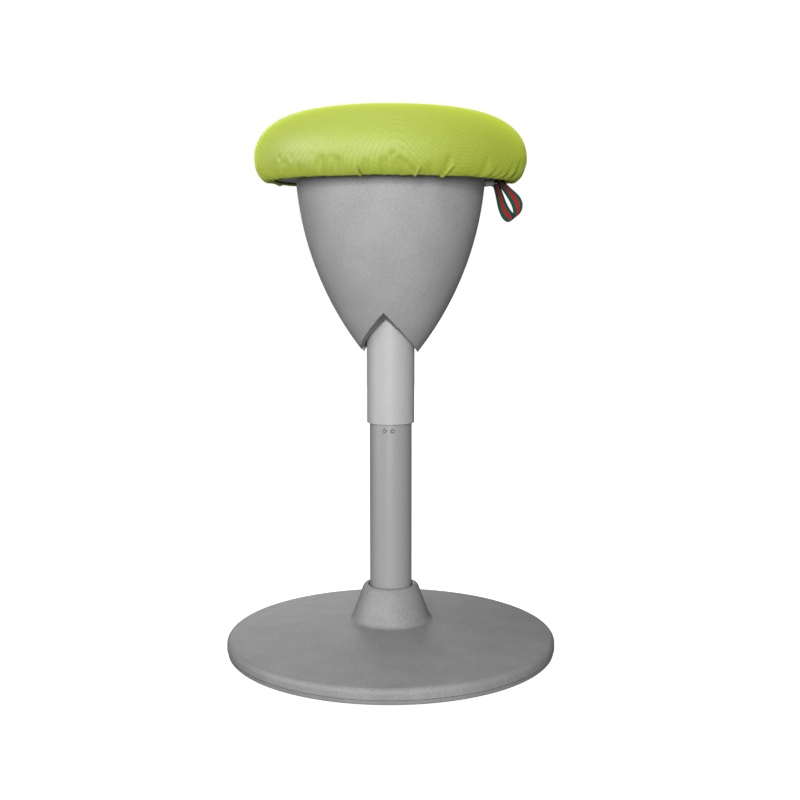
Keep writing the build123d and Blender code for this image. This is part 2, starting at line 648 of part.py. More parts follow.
def seat_shell():
    """Moulded underside of the seat with a slot above the lever's tip."""
    top = SHELL_Z + SHELL_T
    body = turned(outline_of(
        (0, SHELL_Z), (SHELL_R - 2, SHELL_Z), (SHELL_R, SHELL_Z + 2), (SHELL_R, top), (0, top)))
    sunk_hole = turned(outline_of((0, top + 0.1), (4.1, top + 0.1), (1.9, top - 2.4),
                                  (1.9, SHELL_Z - 1), (0, SHELL_Z - 1)))
    for hole in bell_ring(sunk_hole):
        body -= hole
    for x, y in plate_points():
        body -= Pos(x, y, 0) * rod(PLATE_HOLE_R, SHELL_Z - 1, top + 1)
    slot = Pos(STRAP_PIN_X, 0, SHELL_Z) * Box(TIP_SLOT, TIP_SLOT, 2 * (SHELL_T - 1.2))
    return body - slot


def seat_board():
    """Plywood board inside the seat."""
    low = SHELL_Z + SHELL_T
    body = rod(BOARD_R, low, low + BOARD_T)
    for x, y in plate_points():
        body -= Pos(x, y, 0) * rod(TEE_NUT_HOLE_R, low - 1, low + BOARD_T + 1)
    return body


def cushion_points(inset, count=9):
    """Side of the cushion: a power curve over the crown and another under the widest circle."""
    widest, roll = SEAT_R - inset, ROLL_R
    crown, fall = CROWN_H - inset, ROLL_H - inset
    quarter = [pi / 2 * i / count for i in range(1, count)]
    upper = [(widest * sin(t) ** CROWN_POWERS[0], 0, SEAT_WIDEST_Z + crown * cos(t) ** CROWN_POWERS[1])
             for t in quarter]
    lower = [(roll + (widest - roll) * cos(t) ** ROLL_POWERS[0], 0,
              SEAT_WIDEST_Z - fall * sin(t) ** ROLL_POWERS[1]) for t in quarter]
    return [(0, 0, SEAT_WIDEST_Z + crown), *upper, (widest, 0, SEAT_WIDEST_Z), *lower,
            (roll, 0, SEAT_WIDEST_Z - fall)]


def cushion_side(inset):
    """Smooth side line of the cushion, from the crown to its lowest circle."""
    return Spline(*cushion_points(inset), tangents=[(1, 0, 0), (-1, 0, 0)])


def seat_foam():
    """Foam pad over the board, rolled round the edge of the shell."""
    low = SEAT_WIDEST_Z - ROLL_H + COVER_T
    board_top = SHELL_Z + SHELL_T + BOARD_T
    side = cushion_side(COVER_T)
    rest = Polyline((ROLL_R, 0, low), (ROLL_R, 0, SHELL_Z - 0.2), (SHELL_R + 0.3, 0, SHELL_Z - 0.2),
                    (SHELL_R + 0.3, 0, board_top), (0, 0, board_top),
                    (0, 0, SEAT_WIDEST_Z + CROWN_H - COVER_T))
    body = turned(side + rest)
    for x, y in plate_points():
        body -= Pos(x, y, 0) * rod(TEE_NUT_R + 0.5, board_top - 1, board_top + TEE_NUT_T + 0.4)
    return body


def seat_cover():
    """Knitted cover over the foam, drawn in under the shell as far as its hem."""
    low = SEAT_WIDEST_Z - ROLL_H
    hem_z = SHELL_Z - 0.3
    outer = cushion_side(0) + Polyline(
        (ROLL_R, 0, low), (HEM_R, 0, hem_z - COVER_T), (HEM_R, 0, hem_z), (ROLL_R, 0, hem_z),
        (ROLL_R, 0, low + COVER_T))
    inner = cushion_side(COVER_T) + Line(
        (0, 0, SEAT_WIDEST_Z + CROWN_H - COVER_T), (0, 0, SEAT_WIDEST_Z + CROWN_H))
    return turned(outer + inner)


def hem_elastic():
    """Elastic cord in the hem of the cover."""
    middle = SHELL_Z - 0.3 - HEM_CORD_R
    return Pos(0, 0, middle) * Torus(HEM_R - HEM_CORD_R, HEM_CORD_R)


# ---------------------------------------------------------------- pull strap

def strap_place():
    """Frame of the strap: its X runs across the loop, its Y across the webbing."""
    return Pos(STRAP_PIN_X, 0, STRAP_PIN_Z) * Rot(0, 0, STRAP_TURN)


def lever_tip():
    """Plastic end piece on the lever, cut away round the top of the strap."""
    height = TIP_TOP_Z - TIP_BOTTOM_Z
    middle = (TIP_TOP_Z + TIP_BOTTOM_Z) / 2
    length = STRAP_PIN_X - TIP_START_X
    body = Pos(TIP_START_X + length / 2, 0, middle) * Box(length, 2 * TIP_HALF_W, height)
    body = fillet(body.edges().filter_by(Axis.X), 1.2)
    cut = Box(4 * STRAP_W, 2 * STRAP_W, 3 * height)
    room = Pos(2 * STRAP_W - STRAP_BACK_ROOM, STRAP_W - STRAP_ROOM, 0) * cut
    body -= strap_place() * room
    bar_low = LEVER_Z - LEVER_T / 2 + LEVER_END_LIFT
    pocket = Pos(LEVER_END_X - 10, 0, bar_low + LEVER_T / 2) * Box(20, 2 * LEVER_HALF_W, LEVER_T)
    return body - pocket - strap_pin()


def strap_pin():
    """Headed pin in the tip, which the strap is looped over."""
    shank = Cylinder(STRAP_PIN_R, 2 * STRAP_ROOM + 4)
    head = Pos(0, 0, -STRAP_ROOM - PIN_HEAD_T / 2) * Cylinder(PIN_HEAD_R, PIN_HEAD_T)
    cut = Pos(0, 0, -STRAP_ROOM - PIN_HEAD_T - 5) * Cylinder(2 * PIN_HEAD_R, 10)
    return strap_place() * Rot(90, 0, 0) * (shank + head - cut)


def pull_strap():
    """Woven strap: one closed loop over the pin, hanging below the seat."""
    over_pin = STRAP_PIN_R + STRAP_T / 2 + 0.1
    corners = [(-over_pin, over_pin), (over_pin, over_pin), (over_pin + 0.3, -4.2), (27.5, -14.0),
               (35.5, -30.0), (31.0, -46.0), (20.0, -46.5), (4.0, -28.0), (-over_pin, -8.0)]
    radii = [over_pin - 0.1, over_pin - 0.1, 3.0, 16.0, 15.0, 5.5, 7.0, 25.0, 25.0]
    middle = FilletPolyline(*[(u, 0, z) for u, z in corners], radius=radii, close=True)
    face = make_face(offset_wire(middle, STRAP_T / 2)) - make_face(offset_wire(middle, -STRAP_T / 2))
    band = extrude(face, amount=STRAP_W / 2, both=True)
    return strap_place() * band


def offset_wire(wire, amount):
    """Wire that runs beside a closed one at an even distance."""
    return Wire(wire.edges()).offset_2d(amount, kind=Kind.ARC)


def write(name, shape):
    """Write one sub-part, whether it is one solid or a group of like ones."""
    if isinstance(shape, list):
        solids = [s for piece in shape for s in piece.solids()]
        shape = Compound(children=solids)
    shape.label = name
    export_step(shape, f"parts/{name}.step")


NODES = [
    rubber_tread, base_pan, base_shell, ballast_plate, tube_flange, flange_screws, base_screws,
    stand_tube, guide_bush, lower_race, upper_race, bearing_balls, ball_cage, rubber_buffer,
    rod_clip, piston_rod, piston, piston_seal, piston_nut, gas_cylinder, rod_guide,
    telescopic_sleeve, taper_socket, valve_pin, mechanism_plate, lever_pin, release_lever,
    plate_screws, tee_nuts, bell_housing, bell_screws, seat_shell, seat_board, seat_foam,
    seat_cover, hem_elastic, lever_tip, strap_pin, pull_strap,
]

for make in NODES:
    write(make.__name__, make())
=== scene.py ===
"""Soft goods, finishes and studio of a height-adjustable wobble stool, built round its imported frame."""

import json
import math

import bpy
import numpy as np
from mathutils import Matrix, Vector


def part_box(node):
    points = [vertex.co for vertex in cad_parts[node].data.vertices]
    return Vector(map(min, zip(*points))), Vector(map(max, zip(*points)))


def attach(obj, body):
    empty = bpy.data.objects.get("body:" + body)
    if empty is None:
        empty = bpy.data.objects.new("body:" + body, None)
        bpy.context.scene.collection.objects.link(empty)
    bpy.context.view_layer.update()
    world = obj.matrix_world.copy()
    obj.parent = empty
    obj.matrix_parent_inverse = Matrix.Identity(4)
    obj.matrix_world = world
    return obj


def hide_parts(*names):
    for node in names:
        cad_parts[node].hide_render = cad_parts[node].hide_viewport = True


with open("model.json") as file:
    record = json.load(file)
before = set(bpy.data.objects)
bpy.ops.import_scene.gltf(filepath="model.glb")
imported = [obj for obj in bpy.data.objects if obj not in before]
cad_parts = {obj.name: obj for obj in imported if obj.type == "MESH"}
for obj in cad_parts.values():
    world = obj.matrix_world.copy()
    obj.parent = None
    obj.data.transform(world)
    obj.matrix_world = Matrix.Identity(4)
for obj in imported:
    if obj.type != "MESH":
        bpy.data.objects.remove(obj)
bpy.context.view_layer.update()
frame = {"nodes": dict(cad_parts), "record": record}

bl_info = {
    "name": "Wobble stool",
    "version": (1, 0, 0),
    "blender": (4, 5, 0),
    "location": "3D View > Sidebar > Stool",
    "description": "Knitted cushion, pull strap, finishes and studio of a wobble stool",
    "category": "Add Mesh",
}

MM = 0.001
COVER_LOW, COVER_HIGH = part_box("seat_cover")
SHELL_LOW, SHELL_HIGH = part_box("seat_shell")
BOARD_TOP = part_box("seat_board")[1].z
HEM_LOW, HEM_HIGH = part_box("hem_elastic")
PIN_LOW, PIN_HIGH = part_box("strap_pin")

# Grids of the cushion: points round it, and rows from the crown to the hem.
COVER_COLUMNS, COVER_ROWS, LINING_ROWS = 880, 94, 18
CLOTH_COLUMNS, CLOTH_ROWS, CLOTH_FRAMES, HELD_ROWS = 240, 52, 20, 2
HEM_CROWDING = 1.5        # above 1, the rows stand closer at the hem, where the pleats are
HEM_GAP = 0.3 * MM        # between the hem and the shell above it


# ------------------------------------------------------------------ settings

class CushionSettings(bpy.types.PropertyGroup):
    """Sizes and colours of the padded seat."""
    widest_above_hem: bpy.props.FloatProperty(
        name="Height of the widest circle", description="Above the lowest point of the cushion",
        default=26.4 * MM, unit="LENGTH")
    roll_radius: bpy.props.FloatProperty(
        name="Roll radius", description="Radius of the circle where the cushion is lowest",
        default=140.0 * MM, unit="LENGTH")
    crown_fullness: bpy.props.FloatProperty(
        name="Crown fullness", description="Power of the sine that gives the crown its radius", default=0.512)
    crown_fall: bpy.props.FloatProperty(
        name="Crown fall", description="Power of the cosine that gives the crown its height", default=0.961)
    roll_fullness: bpy.props.FloatProperty(
        name="Roll fullness", description="Power of both curves under the widest circle", default=1.05)
    cover_thickness: bpy.props.FloatProperty(
        name="Cover thickness", description="Thickness of the knitted cover", default=1.4 * MM, unit="LENGTH")
    hem_reach: bpy.props.FloatProperty(
        name="Hem radius", description="Radius of the hem under the shell", default=135.0 * MM, unit="LENGTH")
    start_inset: bpy.props.FloatProperty(
        name="Start inset", description="How much smaller the cover is before it is inflated",
        default=3.0 * MM, unit="LENGTH")
    pressure: bpy.props.FloatProperty(
        name="Pressure", description="Pressure that fills the cover in the cloth simulation", default=4.0)
    wave_limit: bpy.props.FloatProperty(
        name="Wave limit", description="Most that a settled point may stand off the cushion's profile",
        default=1.6 * MM, unit="LENGTH")
    rib_pitch: bpy.props.FloatProperty(
        name="Rib pitch", description="Distance between the knit's visible ribs",
        default=3.3 * MM, unit="LENGTH")
    yarn: bpy.props.StringProperty(
        name="Yarn colour", description="sRGB hex colour of the knitted yarn", default="8A9A24")
    yarn_light: bpy.props.StringProperty(
        name="Rib crest colour", description="sRGB hex colour of the lighter rib crests", default="A0AF42")
    # Painted shade: the darker colour that the pleats' creases are mixed towards.
    crease_shade: bpy.props.StringProperty(
        name="Fold colour", description="sRGB hex colour inside the pleats' creases", default="525E10")


class StrapSettings(bpy.types.PropertyGroup):
    """Sizes and colours of the pull strap."""
    width: bpy.props.FloatProperty(
        name="Width", description="Width of the webbing", default=15.0 * MM, unit="LENGTH")
    thickness: bpy.props.FloatProperty(
        name="Thickness", description="Thickness of the webbing", default=1.3 * MM, unit="LENGTH")
    turn: bpy.props.FloatProperty(
        name="Turn", description="Angle from +X to the plane of the loop", default=math.radians(-50.0),
        subtype="ANGLE")
    edge: bpy.props.StringProperty(name="Selvedge", description="sRGB hex colour", default="10181F")
    green: bpy.props.StringProperty(name="Green stripe", description="sRGB hex colour", default="0B513C")
    red: bpy.props.StringProperty(name="Red stripe", description="sRGB hex colour", default="AE1526")


class FinishSettings(bpy.types.PropertyGroup):
    """Colours of the moulded and coated parts."""
    base: bpy.props.StringProperty(name="Base", description="sRGB hex colour", default="868686")
    bell: bpy.props.StringProperty(name="Bell housing", description="sRGB hex colour", default="959595")
    sleeve: bpy.props.StringProperty(name="Sleeve", description="sRGB hex colour", default="A8A8A8")
    tube: bpy.props.StringProperty(name="Lower tube", description="sRGB hex colour", default="909090")
    shell: bpy.props.StringProperty(name="Seat shell", description="sRGB hex colour", default="9292A0")
    grain: bpy.props.FloatProperty(
        name="Grain", description="Size of the visible grain of the moulded parts", default=1.7 * MM,
        unit="LENGTH")


class StageSettings(bpy.types.PropertyGroup):
    """Camera and light."""
    camera_distance: bpy.props.FloatProperty(
        name="Camera distance", description="From the stool's axis, level", default=1.42657, unit="LENGTH")
    camera_height: bpy.props.FloatProperty(
        name="Camera height", description="Above the floor", default=0.48216, unit="LENGTH")
    camera_pitch: bpy.props.FloatProperty(
        name="Camera pitch", description="Downwards from level", default=math.radians(6.849),
        subtype="ANGLE")
    camera_side: bpy.props.FloatProperty(
        name="Camera side", description="To the right of the stool's axis", default=0.011, unit="LENGTH")
    lens: bpy.props.FloatProperty(name="Lens", description="Focal length in millimetres", default=54.645)
    key_power: bpy.props.FloatProperty(
        name="Key", description="Power of the soft light beside the camera", default=105.0, unit="POWER")
    top_power: bpy.props.FloatProperty(
        name="Top", description="Power of the large soft light overhead", default=11.0, unit="POWER")
    back_power: bpy.props.FloatProperty(
        name="Back", description="Power of the soft light behind the stool", default=25.0, unit="POWER")
    gloss_power: bpy.props.FloatProperty(
        name="Gloss", description="Power of the light from the left that only gives gloss", default=110.0,
        unit="POWER")
    ambient: bpy.props.FloatProperty(
        name="Ambient", description="Strength of the light from all round", default=0.26)


# ------------------------------------------------------------------ helpers

def linear(colour):
    """sRGB hex to a linear RGBA colour: c / 12.92 in the shadows, ((c + 0.055) / 1.055) ^ 2.4 above them."""
    channels = [int(colour[i:i + 2], 16) / 255 for i in (0, 2, 4)]
    return [c / 12.92 if c <= 0.04045 else ((c + 0.055) / 1.055) ** 2.4 for c in channels] + [1.0]


def shaded(colour, factor):
    """Linear RGBA colour of an sRGB hex, with its three channels times a factor."""
    return [c * factor for c in linear(colour)[:3]] + [1.0]


def add(owner, kind, sockets=None, **settings):
    """Adds one node to a material or world, sets its settings, and fills or links each named socket."""
    tree = owner.node_tree
    made = tree.nodes.new(kind)
    for name, value in settings.items():
        setattr(made, name, value)
    for name, value in (sockets or {}).items():
        if isinstance(value, bpy.types.NodeSocket):
            tree.links.new(value, made.inputs[name])
        else:
            made.inputs[name].default_value = value
    return made


def new_finish(name, **constants):
    """A material whose shader has these constant sockets, and that shader. An underscore in a socket's
    name stands for a space."""
    material = bpy.data.materials.new(name)
    material.use_nodes = True
    shader = material.node_tree.nodes["Principled BSDF"]
    for socket, value in constants.items():
        shader.inputs[socket.replace("_", " ")].default_value = value
    return material, shader


def grid_mesh(name, points, around_rows=True, around_columns=False, start=None, end=None):
    """Mesh of a grid of points (rows, columns, 3), with quads between neighbours.

    Rows close on themselves where around_rows, columns where around_columns, and a start or an end point
    closes the first or the last row with a fan. Going down the rows with the columns anticlockwise from
    above, the faces point outwards.
    """
    rows, columns = points.shape[:2]
    index = np.arange(rows * columns).reshape(rows, columns)
    below = np.roll(index, -1, axis=0) if around_columns else index[1:]
    here = index if around_columns else index[:-1]
    if around_rows:
        quads = np.stack([here, below, np.roll(below, -1, axis=1), np.roll(here, -1, axis=1)], -1)
    else:
        quads = np.stack([here[:, :-1], below[:, :-1], below[:, 1:], here[:, 1:]], -1)
    quads = quads.reshape(-1, 4)
    vertices = [points.reshape(-1, 3)]
    fans = []
    count = rows * columns
    for pole, row, flip in ((start, index[0], False), (end, index[-1], True)):
        if pole is not None:
            ahead = np.roll(row, -1)
            tip = np.full(columns, count)
            fans.append(np.stack([tip, ahead, row] if flip else [tip, row, ahead], -1))
            vertices.append(np.array([pole]))
            count += 1
    loops = np.concatenate([quads.ravel()] + [f.ravel() for f in fans])
    sizes = np.concatenate([np.full(len(quads), 4)] + [np.full(len(f), 3) for f in fans])
    mesh = bpy.data.meshes.new(name)
    mesh.vertices.add(count)
    mesh.vertices.foreach_set("co", np.concatenate(vertices).astype(np.float32).ravel())
    mesh.loops.add(len(loops))
    mesh.loops.foreach_set("vertex_index", loops.astype(np.int32))
    mesh.polygons.add(len(sizes))
    mesh.polygons.foreach_set("loop_start", np.concatenate([[0], np.cumsum(sizes)[:-1]]).astype(np.int32))
    mesh.polygons.foreach_set("use_smooth", np.ones(len(sizes), bool))
    mesh.update(calc_edges=True)
    mesh.validate()
    return mesh


def new_piece(name, mesh, material, body, slot, *replaced):
    """An object of that mesh in the scene, riding on a body, in place of CAD nodes."""
    piece = bpy.data.objects.new(name, mesh)
    bpy.context.scene.collection.objects.link(piece)
    mesh.materials.append(material)
    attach(piece, body)
    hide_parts(*replaced)
    return piece


def evenly(points, count, crowding=1.0):
    """The same line at count points, by linear interpolation on its length l: the point t of the way is at
    l (1 - (1 - t)^crowding), which is even at a crowding of 1 and closer towards the end above it."""
    steps = np.linalg.norm(np.diff(points, axis=0), axis=1)
    length = np.concatenate([[0.0], np.cumsum(steps)])
    wanted = length[-1] * (1 - np.linspace(1, 0, count) ** crowding)
    return np.stack([np.interp(wanted, length, points[:, k]) for k in range(points.shape[1])], -1)


def turned(profile, angles):
    """Grid of a profile of (radius, height) turned to each angle: x = r cos a, y = r sin a, z = height."""
    r, z = profile[:, :1], profile[:, 1:]
    return np.stack([r * np.cos(angles), r * np.sin(angles), z + 0 * angles], -1)


# ------------------------------------------------------------------ cushion

def side_line(s, inset, samples=400):
    """Cushion's side as (radius, height), from just off the crown to its lowest circle.

    Above the widest circle r = R sin(t)^f and z = widest + H cos(t)^g; below it r goes from R to the
    roll's radius with cos(t)^k while z falls with sin(t)^k. inset moves the line inwards.
    """
    top = COVER_HIGH.z - inset
    low = COVER_LOW.z + inset
    widest_z = COVER_LOW.z + s.widest_above_hem
    widest_r = (COVER_HIGH.x - COVER_LOW.x) / 2 - inset
    t = np.linspace(0, math.pi / 2, samples)
    crown_r = widest_r * np.sin(t) ** s.crown_fullness
    crown_z = widest_z + (top - widest_z) * np.cos(t).clip(0) ** s.crown_fall
    roll_r = s.roll_radius + (widest_r - s.roll_radius) * np.cos(t).clip(0) ** s.roll_fullness
    roll_z = widest_z - (widest_z - low) * np.sin(t) ** s.roll_fullness
    return np.concatenate([np.stack([crown_r, crown_z], -1)[1:], np.stack([roll_r, roll_z], -1)[1:]])


def hem_line(s, inset, samples=40):
    """Turn-in under the shell: from the lowest circle inwards and up to the hem, along half a cosine."""
    t = np.linspace(0, 1, samples)
    hem_z = SHELL_LOW.z - HEM_GAP - s.cover_thickness + inset
    low = COVER_LOW.z + inset
    r = s.roll_radius + (s.hem_reach - s.roll_radius) * t
    return np.stack([r, low + (hem_z - low) * (1 - np.cos(math.pi * t)) / 2], -1)[1:]


def outer_line(s, inset, count):
    """Whole outside of the cover, from just off the crown to the hem, with its points closer at the hem."""
    return evenly(np.concatenate([side_line(s, inset), hem_line(s, inset)]), count, HEM_CROWDING)


# The gathers that the elastic draws into the hem: waves round it, phase, and share of the depth.
GATHERS = ((41, 1.3, 1.0), (57, 2.1, 0.7), (23, 0.0, 0.8))
GATHER_DEPTH = 0.9 * MM
GATHER_DROP = 0.4             # how far a wave goes down, per unit outwards
GATHER_START, GATHER_BAND = 0.72, 0.28      # shares of the way from the crown to the hem


def inflated(s, profile, angles):
    """Offsets of the settled cover from its profile, from a cloth simulation.

    The cover starts smaller, with its gathers drawn in as waves that fade from the hem upwards, is blown
    up with its hem held, and each ring's mean stays on the profile. No point moves past the wave limit.
    """
    start = profile.copy()
    start[:, 0] -= s.start_inset * np.clip(profile[:, 0] / profile[:, 0].max(), 0, 1)
    rise = (profile[:, 1] - COVER_LOW.z) / (COVER_HIGH.z - COVER_LOW.z)
    start[:, 1] -= s.start_inset * np.clip(rise, 0, 1)
    share = np.linspace(0, 1, len(profile))[:, None]
    gathers = sum(part * np.sin(waves * angles + phase) for waves, phase, part in GATHERS)
    wave = GATHER_DEPTH * gathers * np.clip((share - GATHER_START) / GATHER_BAND, 0, 1) ** 1.5
    grid = turned(start, angles)
    grid[..., 0] += wave * np.cos(angles)
    grid[..., 1] += wave * np.sin(angles)
    grid[..., 2] -= GATHER_DROP * wave
    mesh = grid_mesh("cover_start", grid, start=(0, 0, start[0, 1]))
    dummy = bpy.data.objects.new("cover_start", mesh)
    bpy.context.scene.collection.objects.link(dummy)
    columns = len(angles)
    held = dummy.vertex_groups.new(name="hem")
    held.add(list(range((len(profile) - HELD_ROWS) * columns, len(profile) * columns)), 1.0, "REPLACE")
    cloth = dummy.modifiers.new("Cloth", "CLOTH")
    cloth.settings.quality = 5
    cloth.settings.mass = 0.3
    cloth.settings.tension_stiffness = 25
    cloth.settings.compression_stiffness = 25
    cloth.settings.shear_stiffness = 10
    cloth.settings.bending_stiffness = 0.5
    cloth.settings.use_pressure = True
    cloth.settings.uniform_pressure_force = s.pressure
    cloth.settings.effector_weights.gravity = 0
    cloth.settings.vertex_group_mass = "hem"
    cloth.collision_settings.use_collision = False
    for number in range(1, CLOTH_FRAMES + 1):
        bpy.context.scene.frame_set(number)
    settled = dummy.evaluated_get(bpy.context.evaluated_depsgraph_get()).to_mesh()
    co = np.empty(len(settled.vertices) * 3, np.float32)
    settled.vertices.foreach_get("co", co)
    bpy.context.scene.frame_set(1)
    bpy.data.objects.remove(dummy)
    moved = co.reshape(-1, 3)[:len(profile) * columns].reshape(len(profile), columns, 3).astype(float)
    out = moved[..., 0] * np.cos(angles) + moved[..., 1] * np.sin(angles) - profile[:, :1]
    up = moved[..., 2] - profile[:, 1:]
    offsets = np.stack([out - out.mean(1, keepdims=True), up - up.mean(1, keepdims=True)], -1)
    size = np.linalg.norm(offsets, axis=-1, keepdims=True)
    return offsets * np.minimum(1, s.wave_limit / np.maximum(size, 1e-9))


def finer(field, rows, columns):
    """A periodic field on more rows, linearly, and more columns, by adding empty high harmonics."""
    spectrum = np.fft.rfft(field, axis=1)
    wide = np.fft.irfft(spectrum, n=columns, axis=1) * columns / field.shape[1]
    place = np.linspace(0, len(field) - 1, rows)
    low = np.minimum(place.astype(int), len(field) - 2)
    part = (place - low)[:, None, None]
    return wide[low] * (1 - part) + wide[low + 1] * part


# The pleats that show on the outside: degrees from the front (to the right), height of their upper end
# above the lowest circle, sideways lean of that end, and depth, the last three in millimetres.
PLEATS = (
    (-12.3, 13.0, -3.0, 1.7), (11.2, 11.0, 3.5, 1.8), (23.7, 14.0, 9.0, 2.1),
    (44.0, 16.0, 20.0, 0.5), (50.0, 18.0, 22.0, 0.6), (55.5, 20.0, 24.0, 0.55),
    (61.0, 20.0, 24.0, 0.6), (66.0, 17.0, 22.0, 0.5), (71.0, 14.0, 18.0, 0.5),
    (-34.0, 7.0, 4.0, 0.4), (-55.0, 10.0, -12.0, 0.5),
    (-61.0, 12.0, -11.0, 0.5), (-66.0, 12.0, -10.0, 0.45),
    (92.0, 12.0, 9.0, 1.0), (118.0, 9.0, -6.0, 0.9), (143.0, 13.0, 8.0, 1.3),
    (171.0, 11.0, -5.0, 1.1), (199.0, 14.0, 9.0, 1.4), (226.0, 10.0, -7.0, 0.9),
    (251.0, 12.0, 7.0, 1.1), (273.0, 9.0, -5.0, 0.8),
)
PLEAT_START_R, PLEAT_RISE = 134.0, 6.0      # millimetres: pleats start under the roll and reach full depth
PLEAT_WIDTH, PLEAT_SPREAD = 1.0, 0.4        # millimetres, and millimetres more per millimetre of depth


def pleated(grid, normals, angles):
    """The grid with its pleats, and how deep in a crease each point lies, from 0 to 1, which the knit uses to
    paint shade into the creases.

    A pleat is a ridge with a crease beside it along a leaning line, (1 - 0.9 q/w) exp(-(q/w)^2) across,
    fading with a half cosine from the hem to its upper end. The crease is exp(-((q - w) / (0.8 w))^2).
    """
    height = (grid[..., 2] - COVER_LOW.z) / MM
    radius = np.linalg.norm(grid[..., :2], axis=-1) / MM
    lift = np.zeros_like(height)
    crease = np.zeros_like(height)
    for degrees, top, lean, depth in PLEATS:
        centre = math.radians(degrees - 90)
        away = (angles - centre + math.pi) % (2 * math.pi) - math.pi
        q = away * radius - lean * np.clip(height, 0, None) / top
        width = PLEAT_WIDTH + PLEAT_SPREAD * depth
        fade = np.where(height < top, 0.5 + 0.5 * np.cos(math.pi * np.clip(height / top, 0, 1)), 0)
        low_fade = np.clip((radius - PLEAT_START_R) / PLEAT_RISE, 0, 1)
        lift += depth * fade * low_fade * (1 - 0.9 * q / width) * np.exp(-(q / width) ** 2)
        crease += np.sqrt(depth) * fade * low_fade * np.exp(-((q - width) / (0.8 * width)) ** 2)
    return grid + (lift * MM)[..., None] * normals, np.minimum(crease, 1)


def grid_normals(grid):
    """Outward unit normals of a grid of rows downwards and columns anticlockwise."""
    down = np.gradient(grid, axis=0)
    ahead = np.roll(grid, -1, axis=1) - np.roll(grid, 1, axis=1)
    normal = np.cross(down, ahead)
    return normal / np.maximum(np.linalg.norm(normal, axis=-1, keepdims=True), 1e-12)


# The slack spots of the stretched knit: degrees from the front, metres from the axis, weakness in metres.
SLACK_SPOTS = ((-58.0, 0.100, 0.0), (30.0, 0.133, 0.066), (122.0, 0.100, 0.0), (210.0, 0.133, 0.066))
SLACK_DEPTH = 20 * MM      # of the spots under the crown
RIB_SOFTNESS = 9 * MM      # k: how widely the ribs bend where two spots are equally near


def rib_field(grid, s):
    """How many ribs lie between a point and the nearest slack spot of the stretched knit.

    Four slack spots stand round the crown, two of them weaker, and the ribs are the level lines of the
    smooth least of the distances to them: -k log(sum of exp(-(d + weakness) / k)).
    """
    total = np.zeros(grid.shape[:-1])
    for degrees, reach, weakness in SLACK_SPOTS:
        a = math.radians(degrees - 90)
        spot = np.array([reach * math.cos(a), reach * math.sin(a), COVER_HIGH.z - SLACK_DEPTH])
        total += np.exp(-(np.linalg.norm(grid - spot, axis=-1) + weakness) / RIB_SOFTNESS)
    return -RIB_SOFTNESS * np.log(total) / s.rib_pitch


def rib_knit(s):
    """Lime polyester stretch knit, warp-knitted with fine ribs: a matt, slightly hairy surface with faint
    light and dark lines that bend where the cloth is stretched, and a pale sheen where it turns away."""
    finish, shader = new_finish("lime_rib_knit", Roughness=0.62, Sheen_Weight=0.8, Sheen_Roughness=0.6,
                                Sheen_Tint=linear("C4D82A"), Specular_IOR_Level=0.8)
    place = add(finish, "ShaderNodeTexCoord").outputs["Object"]
    rib = add(finish, "ShaderNodeAttribute", attribute_name="rib").outputs["Fac"]
    turn = add(finish, "ShaderNodeMath", {0: rib, 1: 2 * math.pi}, operation="MULTIPLY")
    crest = add(finish, "ShaderNodeMath", {0: turn.outputs[0]}, operation="SINE")
    # Knit loops are 0.8 mm apart; drawn at 1.7 mm, so that they show as a fine grain.
    loops = add(finish, "ShaderNodeTexNoise", {"Vector": place, "Scale": 1 / (1.7 * MM), "Detail": 2.0,
                                               "Roughness": 0.6})
    # The ribs fade in and out in patches about 40 mm wide, as they do where the cloth is pulled less.
    patches = add(finish, "ShaderNodeTexNoise", {"Vector": place, "Scale": 1 / (40 * MM), "Detail": 2.0})
    strong = add(finish, "ShaderNodeMapRange", {"Value": patches.outputs["Fac"], "From Min": 0.35,
                                                "From Max": 0.65, "To Min": 0.25, "To Max": 1.0})
    # The share of the lighter yarn: the loops' noise spread about one half, and the ribs' wave on it.
    line = add(finish, "ShaderNodeMath", {0: crest.outputs[0], 1: strong.outputs[0]}, operation="MULTIPLY")
    fine = add(finish, "ShaderNodeMath", {0: loops.outputs["Fac"], 1: 0.5}, operation="SUBTRACT")
    fine_share = add(finish, "ShaderNodeMath", {0: fine.outputs[0], 1: 1.6, 2: 0.5},
                     operation="MULTIPLY_ADD")
    light = add(finish, "ShaderNodeMath", {0: line.outputs[0], 1: 0.22, 2: fine_share.outputs[0]},
                operation="MULTIPLY_ADD", use_clamp=True)
    colour = add(finish, "ShaderNodeMix", {"Factor": light.outputs[0], 6: linear(s.yarn),
                                           7: linear(s.yarn_light)}, data_type="RGBA")
    # Painted shade: the pleats' creases are darkened towards a darker yarn colour, as shade falls in them.
    crease = add(finish, "ShaderNodeAttribute", attribute_name="crease").outputs["Fac"]
    crease_shaded = add(finish, "ShaderNodeMix", {"Factor": crease, 6: colour.outputs[2], 7: linear(s.crease_shade)},
                 data_type="RGBA")
    finish.node_tree.links.new(crease_shaded.outputs[2], shader.inputs["Base Color"])
    relief = add(finish, "ShaderNodeBump", {"Height": light.outputs[0], "Strength": 0.35,
                                            "Distance": 0.3 * MM})
    finish.node_tree.links.new(relief.outputs[0], shader.inputs["Normal"])
    return finish


